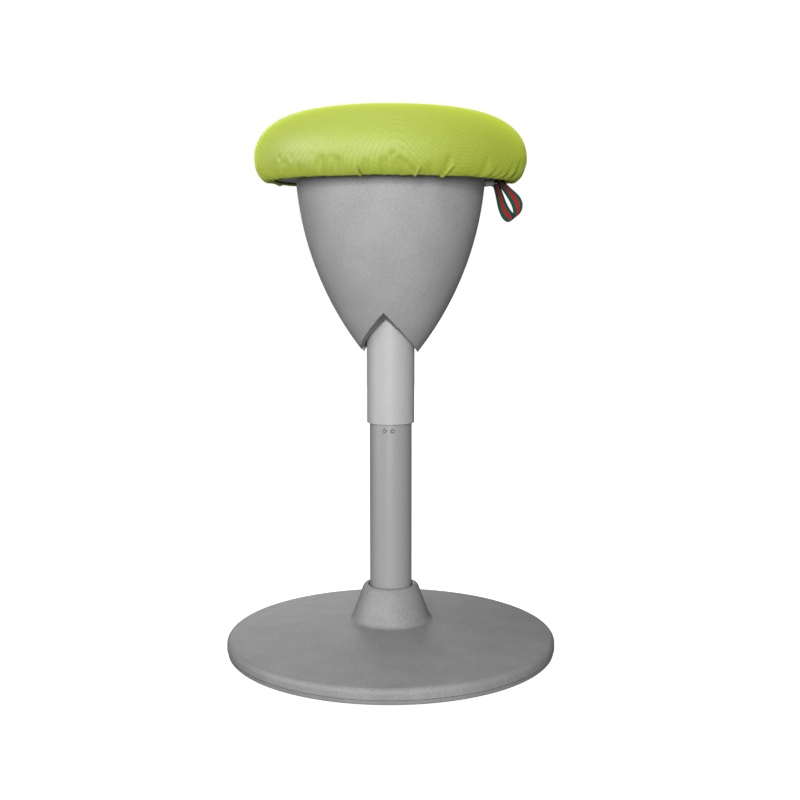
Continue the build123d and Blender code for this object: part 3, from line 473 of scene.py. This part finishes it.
def cut_foam():
    """Cream polyurethane foam, cut from a block: dull, with open cells that show as dark pinpricks."""
    finish, shader = new_finish("cut_polyurethane_foam", Roughness=0.95, Specular_IOR_Level=0.2)
    place = add(finish, "ShaderNodeTexCoord").outputs["Object"]
    # Cells are about 0.6 mm; drawn at 1.5 mm.
    cells = add(finish, "ShaderNodeTexVoronoi", {"Vector": place, "Scale": 1 / (1.5 * MM)})
    colour = add(finish, "ShaderNodeMix", {"Factor": cells.outputs["Distance"], 6: linear("C9BF96"),
                                           7: linear("E8E0BE")}, data_type="RGBA")
    finish.node_tree.links.new(colour.outputs[2], shader.inputs["Base Color"])
    relief = add(finish, "ShaderNodeBump", {"Height": cells.outputs["Distance"], "Strength": 0.6,
                                            "Distance": 0.5 * MM})
    finish.node_tree.links.new(relief.outputs[0], shader.inputs["Normal"])
    return finish


def elastic_cord():
    """Elastic covered in braided yarn: a dull dark olive cord, mottled light and dark by its strands."""
    finish, shader = new_finish("covered_elastic_cord", Roughness=0.85, Specular_IOR_Level=0.2)
    place = add(finish, "ShaderNodeTexCoord").outputs["Object"]
    # Strands are 0.5 mm wide; drawn at 1.2 mm.
    strands = add(finish, "ShaderNodeTexNoise", {"Vector": place, "Scale": 1 / (1.2 * MM), "Detail": 1.0})
    colour = add(finish, "ShaderNodeMix", {"Factor": strands.outputs["Fac"], 6: linear("4C5618"),
                                           7: linear("8A9A2C")}, data_type="RGBA")
    finish.node_tree.links.new(colour.outputs[2], shader.inputs["Base Color"])
    return finish


class STOOL_OT_cover(bpy.types.Operator):
    """Knitted cover of the cushion, blown up as cloth and pleated at its hem"""
    bl_idname = "stool.cover"
    bl_label = "Cushion cover"

    def execute(self, context):
        s = context.scene.stool_cushion
        angles = np.linspace(0, 2 * math.pi, COVER_COLUMNS, endpoint=False)
        grid = turned(outer_line(s, 0.0, COVER_ROWS), angles)
        coarse = np.linspace(0, 2 * math.pi, CLOTH_COLUMNS, endpoint=False)
        settled = inflated(s, outer_line(s, 0.0, CLOTH_ROWS), coarse)
        offsets = finer(settled, COVER_ROWS, COVER_COLUMNS)
        grid[..., 0] += offsets[..., 0] * np.cos(angles)
        grid[..., 1] += offsets[..., 0] * np.sin(angles)
        grid[..., 2] += offsets[..., 1]
        grid, crease = pleated(grid, grid_normals(grid), angles)
        lining = turned(outer_line(s, s.cover_thickness, LINING_ROWS), angles)[::-1]
        whole = np.concatenate([grid, lining])
        crown = (0, 0, COVER_HIGH.z)
        mesh = grid_mesh("cushion_cover", whole, start=crown, end=(0, 0, COVER_HIGH.z - s.cover_thickness))
        ribs = mesh.attributes.new("rib", "FLOAT", "POINT")
        places = np.concatenate([whole.reshape(-1, 3), [crown, crown]])
        ribs.data.foreach_set("value", rib_field(places, s).astype(np.float32))
        # Painted shade: how deep in a crease each point lies, which darkens the knit there.
        shade = np.zeros(len(places), np.float32)
        shade[:crease.size] = crease.ravel()
        mesh.attributes.new("crease", "FLOAT", "POINT").data.foreach_set("value", shade)
        piece = new_piece("cushion_cover", mesh, rib_knit(s), "seat", "cover_knit", "seat_cover")
        return {"FINISHED"}


FOAM_COLUMNS, FOAM_ROWS = 180, 60
FOAM_SLACK = 1.2 * MM          # between the cover and the foam
FOAM_EDGE_GAP = 0.6 * MM       # between the foam and the edge of the shell
FOAM_BOARD_GAP = 1.8 * MM      # between the foam and the top of the board
FOAM_CENTRE_R = 2 * MM         # last circle before the underside closes at its middle


class STOOL_OT_foam(bpy.types.Operator):
    """Foam pad inside the cover, rolled round the edge of the shell"""
    bl_idname = "stool.foam"
    bl_label = "Foam pad"

    def execute(self, context):
        s = context.scene.stool_cushion
        inset = s.cover_thickness + FOAM_SLACK
        side = evenly(side_line(s, inset), FOAM_ROWS)
        edge = SHELL_HIGH.x + FOAM_EDGE_GAP
        floor = BOARD_TOP + FOAM_BOARD_GAP
        under = np.array([
            (edge, side[-1, 1] + FOAM_EDGE_GAP), (edge, floor), (edge / 2, floor), (FOAM_CENTRE_R, floor)])
        angles = np.linspace(0, 2 * math.pi, FOAM_COLUMNS, endpoint=False)
        mesh = grid_mesh("foam_pad", turned(np.concatenate([side, under]), angles),
                         start=(0, 0, COVER_HIGH.z - inset), end=(0, 0, floor))
        piece = new_piece("foam_pad", mesh, cut_foam(), "seat", "foam", "seat_foam")
        return {"FINISHED"}


HEM_COLUMNS, HEM_SECTION = 900, 12
HEM_STRANDS = 150              # bulges of the cord round the whole hem
HEM_BULGE = 0.1                # their height, as a share of the cord's radius


class STOOL_OT_hem(bpy.types.Operator):
    """Elastic cord in the hem, with the cloth gathered round it"""
    bl_idname = "stool.hem"
    bl_label = "Hem cord"

    def execute(self, context):
        # Section radius rho = (d / 2)(1 - h + h cos(strands a)), with h the bulge, carried round a circle.
        thick = (HEM_HIGH.z - HEM_LOW.z) / 2
        middle = (HEM_HIGH.x - HEM_LOW.x) / 2 - thick
        a = np.linspace(0, 2 * math.pi, HEM_COLUMNS, endpoint=False)[None, :]
        b = np.linspace(0, 2 * math.pi, HEM_SECTION, endpoint=False)[:, None]
        rho = thick * (1 - HEM_BULGE + HEM_BULGE * np.cos(HEM_STRANDS * a))
        r = middle + rho * np.cos(b)
        z = (HEM_LOW.z + HEM_HIGH.z) / 2 - rho * np.sin(b)
        grid = np.stack([r * np.cos(a), r * np.sin(a), z], -1)
        mesh = grid_mesh("hem_cord", grid, around_columns=True)
        new_piece("hem_cord", mesh, elastic_cord(), "seat", "hem_cord", "hem_elastic")
        return {"FINISHED"}


# ------------------------------------------------------------------ pull strap

# The two edges of the strap, near and far, in millimetres from the pin: outwards along its plane, and up.
# The near edge hangs in a long narrow loop, and the far one in a wide short loop.
STRAP_NEAR = (
    (-2.3, 2.6), (2.6, 2.6), (11.0, -3.5), (20.0, -13.0), (27.5, -22.0), (33.0, -31.0),
    (34.0, -40.0), (25.5, -46.5), (15.0, -42.0), (9.0, -31.0), (6.0, -18.0), (2.0, -6.0),
)
STRAP_FAR = (
    (-2.3, 2.6), (2.6, 2.6), (11.0, -4.0), (21.5, -10.5), (31.0, -17.0), (35.5, -25.0),
    (33.0, -33.5), (25.5, -38.5), (17.5, -33.0), (9.0, -24.0), (3.5, -15.0), (-1.5, -5.0),
)
STRAP_STEPS = 16          # points on each span of an edge
STRAP_SECTION = 40        # points round the webbing's section
SIDE_POWER, FACE_POWER = 0.25, 0.6      # powers of the section's cosine and sine


def closed_curve(points, per_span):
    """Smooth closed line that leans on its points: on each span the quadratic B-spline
    ((1 - t)^2 a + (1 + 2t - 2t^2) b + t^2 c) / 2 of three neighbours."""
    t = np.linspace(0, 1, per_span, endpoint=False)[None, :, None]
    a, b, c = (np.roll(points, k, axis=0)[:, None, :] for k in (1, 0, -1))
    return (((1 - t) ** 2 * a + (1 + 2 * t - 2 * t ** 2) * b + t ** 2 * c) / 2).reshape(-1, points.shape[1])


def striped_webbing(s):
    """Polyester webbing woven in stripes: fine cross ribs, dark selvedges, green borders, a red middle."""
    finish, shader = new_finish("striped_woven_webbing", Roughness=0.75, Sheen_Weight=0.15,
                                Sheen_Roughness=0.4, Specular_IOR_Level=0.3)
    uv = add(finish, "ShaderNodeUVMap", uv_map="webbing").outputs["UV"]
    parts = add(finish, "ShaderNodeSeparateXYZ", {"Vector": uv})
    stripes = add(finish, "ShaderNodeValToRGB", {"Fac": parts.outputs["Y"]})
    ramp = stripes.color_ramp
    ramp.interpolation = "CONSTANT"
    stops = ((0.0, s.edge), (0.045, s.green), (0.33, s.red), (0.67, s.green), (0.955, s.edge))
    while len(ramp.elements) < len(stops):
        ramp.elements.new(1.0)
    for element, (place, colour) in zip(ramp.elements, stops):
        element.position = place
        element.color = linear(colour)
    # Picks are 0.6 mm apart; drawn at 1.1 mm, so that the cross ribs show.
    picks = add(finish, "ShaderNodeMath", {0: parts.outputs["X"], 1: 2 * math.pi / (1.1 * MM)},
                operation="MULTIPLY")
    wave = add(finish, "ShaderNodeMath", {0: picks.outputs[0]}, operation="SINE")
    shade = add(finish, "ShaderNodeMapRange", {"Value": wave.outputs[0], "From Min": -1.0, "From Max": 1.0,
                                               "To Min": 0.72, "To Max": 1.0})
    colour = add(finish, "ShaderNodeMix", {"Factor": 1.0, 6: stripes.outputs["Color"],
                                           7: shade.outputs[0]}, data_type="RGBA", blend_type="MULTIPLY")
    finish.node_tree.links.new(colour.outputs[2], shader.inputs["Base Color"])
    relief = add(finish, "ShaderNodeBump", {"Height": wave.outputs[0], "Strength": 0.5,
                                            "Distance": 0.15 * MM})
    finish.node_tree.links.new(relief.outputs[0], shader.inputs["Normal"])
    return finish


class STOOL_OT_strap(bpy.types.Operator):
    """Woven pull strap, looped over the pin of the lever's tip"""
    bl_idname = "stool.strap"
    bl_label = "Pull strap"

    def execute(self, context):
        s = context.scene.stool_strap
        near = closed_curve(np.array(STRAP_NEAR) * MM, STRAP_STEPS)
        far = closed_curve(np.array(STRAP_FAR) * MM, STRAP_STEPS)
        along = np.array([math.cos(s.turn), math.sin(s.turn), 0])
        across = np.array([-along[1], along[0], 0])
        up = np.array([0, 0, 1.0])
        pin = np.array((PIN_LOW + PIN_HIGH) / 2)
        # The edges stand apart by the width: half of what their shapes leave of it lies along the pin.
        reach = np.sqrt(s.width ** 2 - ((far - near) ** 2).sum(1, keepdims=True)) / 2
        near_edge = pin + near[:, :1] * along + near[:, 1:] * up - reach * across
        far_edge = pin + far[:, :1] * along + far[:, 1:] * up + reach * across
        middle = (near_edge + far_edge) / 2
        way = (far_edge - near_edge) / s.width
        step = np.roll(middle, -1, axis=0) - np.roll(middle, 1, axis=0)
        face = np.cross(way, step)
        face /= np.linalg.norm(face, axis=1, keepdims=True)
        # Section: a rectangle with round edges, y = cos^(1/4) and z = sin^(3/5) of the turn round it, each
        # with its sign, on the half width and the half thickness.
        turn = np.linspace(0, 2 * math.pi, STRAP_SECTION, endpoint=False)
        y = np.sign(np.cos(turn)) * np.abs(np.cos(turn)) ** SIDE_POWER * s.width / 2
        z = np.sign(np.sin(turn)) * np.abs(np.sin(turn)) ** FACE_POWER * s.thickness / 2
        grid = middle[:, None] + z[None, :, None] * face[:, None] + y[None, :, None] * way[:, None]
        mesh = grid_mesh("strap_webbing", grid, around_columns=True)
        length = np.concatenate([[0], np.cumsum(np.linalg.norm(np.diff(middle, axis=0), axis=1))])
        total = length[-1] + np.linalg.norm(middle[0] - middle[-1])
        rows, columns = grid.shape[:2]
        corner = np.empty(len(mesh.loops), np.int32)
        mesh.loops.foreach_get("vertex_index", corner)
        face_row = np.repeat(np.arange(rows), columns * 4)
        row, column = corner // columns, corner % columns
        u = np.where((row == 0) & (face_row == rows - 1), total, length[row])
        uv = np.stack([u, y[column] / s.width + 0.5], -1)
        mesh.uv_layers.new(name="webbing").data.foreach_set("uv", uv.astype(np.float32).ravel())
        piece = new_piece("strap_webbing", mesh, striped_webbing(s), "lever", "strap_webbing", "pull_strap")
        return {"FINISHED"}


# ------------------------------------------------------------------ finishes of the frame's own parts

def moulded_polypropylene(name, colour, grain, contrast=0.24, roughness=0.62):
    """Polypropylene moulded in a spark-eroded tool: an even dull surface with a fine speckled grain,
    faintly cloudy where the melt cooled unevenly."""
    finish, shader = new_finish(name, Roughness=roughness, IOR=1.49, Specular_IOR_Level=0.35)
    place = add(finish, "ShaderNodeTexCoord").outputs["Object"]
    # The eroded grain is about 0.3 mm; it is drawn coarser, so that it shows. The clouds are 35 mm wide.
    speckle = add(finish, "ShaderNodeTexNoise", {"Vector": place, "Scale": 1 / grain, "Detail": 3.0,
                                                 "Roughness": 0.7})
    cloud = add(finish, "ShaderNodeTexNoise", {"Vector": place, "Scale": 1 / (35 * MM), "Detail": 2.0})
    both = add(finish, "ShaderNodeMath", {0: cloud.outputs["Fac"], 1: 0.35, 2: speckle.outputs["Fac"]},
               operation="MULTIPLY_ADD")
    # Grain and clouds together run from about 0.42 to 0.92.
    share = add(finish, "ShaderNodeMapRange", {"Value": both.outputs[0], "From Min": 0.42,
                                               "From Max": 0.92})
    mixed = add(finish, "ShaderNodeMix", {"Factor": share.outputs[0], 6: shaded(colour, 1 - contrast),
                                          7: shaded(colour, 1 + contrast)}, data_type="RGBA")
    finish.node_tree.links.new(mixed.outputs[2], shader.inputs["Base Color"])
    relief = add(finish, "ShaderNodeBump", {"Height": speckle.outputs["Fac"], "Strength": 0.25,
                                            "Distance": 0.25 * MM})
    finish.node_tree.links.new(relief.outputs[0], shader.inputs["Normal"])
    return finish


# The crimps of the lower tube, whose pressed rings get painted shade: degrees from the front, metres under
# the sleeve, radius of the ring.
CRIMP_TURNS = (-16.05, 5.45, 163.95, 185.45)
CRIMP_DROP = 7.5 * MM
CRIMP_RING = 1.9 * MM
CRIMP_LINE = 0.9 * MM     # half the width of the ring's line


def crimp_rings(finish, place):
    """Mask of the painted shade on the crimps: from 1 on their pressed rings to 0 beside them, 1 - |d - ring|
    / line, with d the distance to the nearest crimp."""
    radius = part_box("stand_tube")[1].x
    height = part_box("telescopic_sleeve")[0].z - CRIMP_DROP
    nearest = 1.0
    for degrees in CRIMP_TURNS:
        a = math.radians(degrees - 90)
        centre = (radius * math.cos(a), radius * math.sin(a), height)
        away = add(finish, "ShaderNodeVectorMath", {0: place, 1: centre}, operation="DISTANCE")
        nearest = add(finish, "ShaderNodeMath", {0: nearest, 1: away.outputs["Value"]},
                      operation="MINIMUM").outputs[0]
    off = add(finish, "ShaderNodeMath", {0: nearest, 1: CRIMP_RING}, operation="SUBTRACT")
    size = add(finish, "ShaderNodeMath", {0: off.outputs[0]}, operation="ABSOLUTE")
    ring = add(finish, "ShaderNodeMapRange", {"Value": size.outputs[0], "From Min": 0.0,
                                              "From Max": CRIMP_LINE, "To Min": 1.0, "To Max": 0.0})
    return ring.outputs[0]


def powder_coat(name, colour, roughness=0.5, crimped=False):
    """Steel with a fine-textured powder coat: satin, with a slight orange peel. Where it is crimped, the
    pressed rings are painted darker, as painted shade in the pressed crimps."""
    finish, shader = new_finish(name, Roughness=roughness, Specular_IOR_Level=0.45)
    place = add(finish, "ShaderNodeTexCoord").outputs["Object"]
    # Real texture is 0.4 mm; drawn at 1.2 mm.
    peel = add(finish, "ShaderNodeTexNoise", {"Vector": place, "Scale": 1 / (1.2 * MM), "Detail": 2.0})
    mixed = add(finish, "ShaderNodeMix", {"Factor": peel.outputs["Fac"], 6: shaded(colour, 0.93),
                                          7: shaded(colour, 1.07)}, data_type="RGBA")
    # Painted shade: the crimps' pressed rings are darkened to 0.35 of the coat's colour.
    if crimped:
        mixed = add(finish, "ShaderNodeMix", {"Factor": crimp_rings(finish, place), 6: mixed.outputs[2],
                                              7: shaded(colour, 0.35)}, data_type="RGBA")
    finish.node_tree.links.new(mixed.outputs[2], shader.inputs["Base Color"])
    relief = add(finish, "ShaderNodeBump", {"Height": peel.outputs["Fac"], "Strength": 0.2,
                                            "Distance": 0.15 * MM})
    finish.node_tree.links.new(relief.outputs[0], shader.inputs["Normal"])
    return finish


def bare_metal(name, colour, roughness, scratch):
    """Plated or ground metal: a clear reflection broken by fine marks of the given spacing."""
    finish, shader = new_finish(name, Metallic=1.0, Base_Color=linear(colour))
    place = add(finish, "ShaderNodeTexCoord").outputs["Object"]
    marks = add(finish, "ShaderNodeTexNoise", {"Vector": place, "Scale": 1 / scratch, "Detail": 3.0})
    rough = add(finish, "ShaderNodeMapRange", {"Value": marks.outputs["Fac"],
                                               "To Min": roughness * 0.7, "To Max": roughness * 1.3})
    finish.node_tree.links.new(rough.outputs[0], shader.inputs["Roughness"])
    return finish


def moulded_rubber(name, colour):
    """Moulded black rubber: matt, with a faint bloom that greys it in patches."""
    finish, shader = new_finish(name, Roughness=0.8, Specular_IOR_Level=0.3)
    place = add(finish, "ShaderNodeTexCoord").outputs["Object"]
    bloom = add(finish, "ShaderNodeTexNoise", {"Vector": place, "Scale": 1 / (12 * MM), "Detail": 4.0})
    mixed = add(finish, "ShaderNodeMix", {"Factor": bloom.outputs["Fac"], 6: linear(colour),
                                          7: shaded(colour, 1.8)}, data_type="RGBA")
    finish.node_tree.links.new(mixed.outputs[2], shader.inputs["Base Color"])
    return finish


def birch_plywood():
    """Birch plywood, sawn round and unfinished: pale faces with long grain, streaky plies at the edge."""
    finish, shader = new_finish("birch_plywood", Roughness=0.7, Specular_IOR_Level=0.3)
    place = add(finish, "ShaderNodeTexCoord").outputs["Object"]
    # Grain 125 mm long and 6 mm wide, in plies of 1.5 mm.
    stretch = add(finish, "ShaderNodeMapping", {"Vector": place, "Scale": (8.0, 160.0, 1 / (1.5 * MM))})
    grain = add(finish, "ShaderNodeTexNoise", {"Vector": stretch.outputs[0], "Scale": 1.0, "Detail": 4.0})
    mixed = add(finish, "ShaderNodeMix", {"Factor": grain.outputs["Fac"], 6: linear("B98F5A"),
                                          7: linear("E3C795")}, data_type="RGBA")
    finish.node_tree.links.new(mixed.outputs[2], shader.inputs["Base Color"])
    return finish


class STOOL_OT_finishes(bpy.types.Operator):
    """Finishes of the moulded, coated, plated and rubber parts"""
    bl_idname = "stool.finishes"
    bl_label = "Finishes"

    def execute(self, context):
        s = context.scene.stool_finish
        zinc = bare_metal("zinc_plated_steel", "C9C9C4", 0.35, 2 * MM)
        ground = bare_metal("ground_bearing_steel", "D2D2D4", 0.15, 1 * MM)
        black = powder_coat("electrocoated_steel", "2A2A2C", 0.4)
        nylon = moulded_polypropylene("natural_nylon", "D8D4C6", s.grain, 0.04, 0.45)
        finishes = {
            "base_plastic": moulded_polypropylene("base_polypropylene", s.base, s.grain),
            "bell_plastic": moulded_polypropylene("bell_polypropylene", s.bell, s.grain, 0.18),
            "seat_shell_plastic": moulded_polypropylene("shell_polypropylene", s.shell, s.grain),
            "sleeve_plastic": moulded_polypropylene("sleeve_polypropylene", s.sleeve, s.grain, 0.10, 0.5),
            "tip_plastic": moulded_polypropylene("tip_polypropylene", s.sleeve, s.grain, 0.10, 0.5),
            "column_paint": powder_coat("powder_coated_steel", s.tube, 0.42, crimped=True),
            "tread_rubber": moulded_rubber("moulded_tread_rubber", "222222"),
            "seal_rubber": moulded_rubber("nitrile_rubber", "1B1B1B"),
            "cylinder_black": powder_coat("lacquered_steel", "1C1C1E", 0.35),
            "rod_chrome": bare_metal("hard_chrome", "D8D8DA", 0.12, 1 * MM),
            "board_plywood": birch_plywood(),
            "black_steel": black, "zinc_steel": zinc, "bearing_steel": ground, "bush_nylon": nylon,
        }
        slots = {part["node"]: part["material_slot"] for part in frame["record"]["subparts"]}
        for name, shown in frame["nodes"].items():
            if slots[name] in finishes:
                shown.data.materials.clear()
                shown.data.materials.append(finishes[slots[name]])
        return {"FINISHED"}


# ------------------------------------------------------------------ studio

FLOOR_REACH = 40.0             # metres from the middle to each side of the floor
FLOOR_GAP = 0.2 * MM           # the floor lies just under the tread
GLOW_BAND = 0.6                # the light from all round changes between these heights of the direction
FLOOR_GLOW = 0.7               # its strength from below, as a share of that from above
LIGHT_AIM = (0, 0, 0.35)
KEY_PLACE, KEY_SIZE = (-0.32, -2.95, 0.93), 0.9
TOP_PLACE, TOP_SIZE = (-0.2, 0.1, 2.3), 1.6
BACK_PLACE, BACK_SIZE = (-0.5, 2.8, 1.0), 1.4
GLOSS_PLACE, GLOSS_SIZE = (-2.8, -1.0, 1.1), 1.4
SENSOR_WIDTH = 36.0            # millimetres


def soft_light(name, place, size, power):
    """A square area light at a place, turned to the middle of the stool."""
    data = bpy.data.lights.new(name, "AREA")
    data.size = size
    data.energy = power
    lamp = bpy.data.objects.new(name, data)
    lamp.location = place
    lamp.rotation_euler = (Vector(LIGHT_AIM) - Vector(place)).to_track_quat("-Z", "Y").to_euler()
    bpy.context.scene.collection.objects.link(lamp)
    return lamp


class STOOL_OT_stage(bpy.types.Operator):
    """Pale floor, soft light and the camera"""
    bl_idname = "stool.stage"
    bl_label = "Studio"

    def execute(self, context):
        s = context.scene.stool_stage
        scene = context.scene
        corners = FLOOR_REACH * np.array([[[-1, 1], [-1, -1]], [[1, 1], [1, -1]]], float)
        flat = np.concatenate([corners, np.full((2, 2, 1), -FLOOR_GAP)], -1)[:, ::-1]
        floor = bpy.data.objects.new("floor", grid_mesh("floor", flat, around_rows=False))
        scene.collection.objects.link(floor)
        pale, shader = new_finish("pale_floor", Base_Color=linear("C8C8C8"), Roughness=1.0,
                                  Specular_IOR_Level=0.0, Emission_Color=linear("FFFFFF"),
                                  Emission_Strength=0.96)
        floor.data.materials.append(pale)
        floor.visible_diffuse = False
        floor.visible_glossy = False

        world = bpy.data.worlds.new("studio")
        scene.world = world
        world.use_nodes = True
        # Light from all round, stronger from above; the camera sees plain white.
        sky = add(world, "ShaderNodeTexCoord").outputs["Generated"]
        parts = add(world, "ShaderNodeSeparateXYZ", {0: sky})
        height = add(world, "ShaderNodeMapRange", {
            "Value": parts.outputs["Z"], "From Min": -GLOW_BAND, "From Max": GLOW_BAND,
            "To Min": s.ambient * FLOOR_GLOW, "To Max": s.ambient})
        seen = add(world, "ShaderNodeLightPath").outputs["Is Camera Ray"]
        strength = add(world, "ShaderNodeMix", {"Factor": seen, 2: height.outputs[0], 3: 1.0})
        background = world.node_tree.nodes["Background"]
        background.inputs["Color"].default_value = linear("FFFFFF")
        world.node_tree.links.new(strength.outputs[0], background.inputs["Strength"])

        soft_light("key", KEY_PLACE, KEY_SIZE, s.key_power)
        soft_light("top", TOP_PLACE, TOP_SIZE, s.top_power)
        soft_light("back", BACK_PLACE, BACK_SIZE, s.back_power)
        soft_light("gloss", GLOSS_PLACE, GLOSS_SIZE, s.gloss_power).visible_diffuse = False

        data = bpy.data.cameras.new("camera")
        data.lens = s.lens
        data.sensor_width = SENSOR_WIDTH
        camera = bpy.data.objects.new("camera", data)
        camera.location = (s.camera_side, -s.camera_distance, s.camera_height)
        camera.rotation_euler = (math.pi / 2 - s.camera_pitch, 0, 0)
        scene.collection.objects.link(camera)
        scene.camera = camera
        scene.view_settings.view_transform = "Standard"
        return {"FINISHED"}


# ------------------------------------------------------------------ panel and run

STEPS = ("stool.cover", "stool.foam", "stool.hem", "stool.strap", "stool.finishes", "stool.stage")


class STOOL_PT_panel(bpy.types.Panel):
    """Builds the stool's pieces one by one"""
    bl_idname = "STOOL_PT_panel"
    bl_label = "Wobble stool"
    bl_space_type = "VIEW_3D"
    bl_region_type = "UI"
    bl_category = "Stool"

    def draw(self, context):
        for step in STEPS:
            self.layout.operator(step)


CLASSES = (
    CushionSettings, StrapSettings, FinishSettings, StageSettings,
    STOOL_OT_cover, STOOL_OT_foam, STOOL_OT_hem, STOOL_OT_strap, STOOL_OT_finishes, STOOL_OT_stage,
    STOOL_PT_panel,
)


def register():
    """Adds the classes and their settings to Blender."""
    for made in CLASSES:
        bpy.utils.register_class(made)
    bpy.types.Scene.stool_cushion = bpy.props.PointerProperty(type=CushionSettings)
    bpy.types.Scene.stool_strap = bpy.props.PointerProperty(type=StrapSettings)
    bpy.types.Scene.stool_finish = bpy.props.PointerProperty(type=FinishSettings)
    bpy.types.Scene.stool_stage = bpy.props.PointerProperty(type=StageSettings)


def unregister():
    """Takes them away again."""
    for name in ("stool_cushion", "stool_strap", "stool_finish", "stool_stage"):
        delattr(bpy.types.Scene, name)
    for made in reversed(CLASSES):
        bpy.utils.unregister_class(made)


def main():
    """Builds everything in order."""
    register()
    for step in STEPS:
        family, name = step.split(".")
        getattr(getattr(bpy.ops, family), name)()


if __name__ == "__main__":
    main()
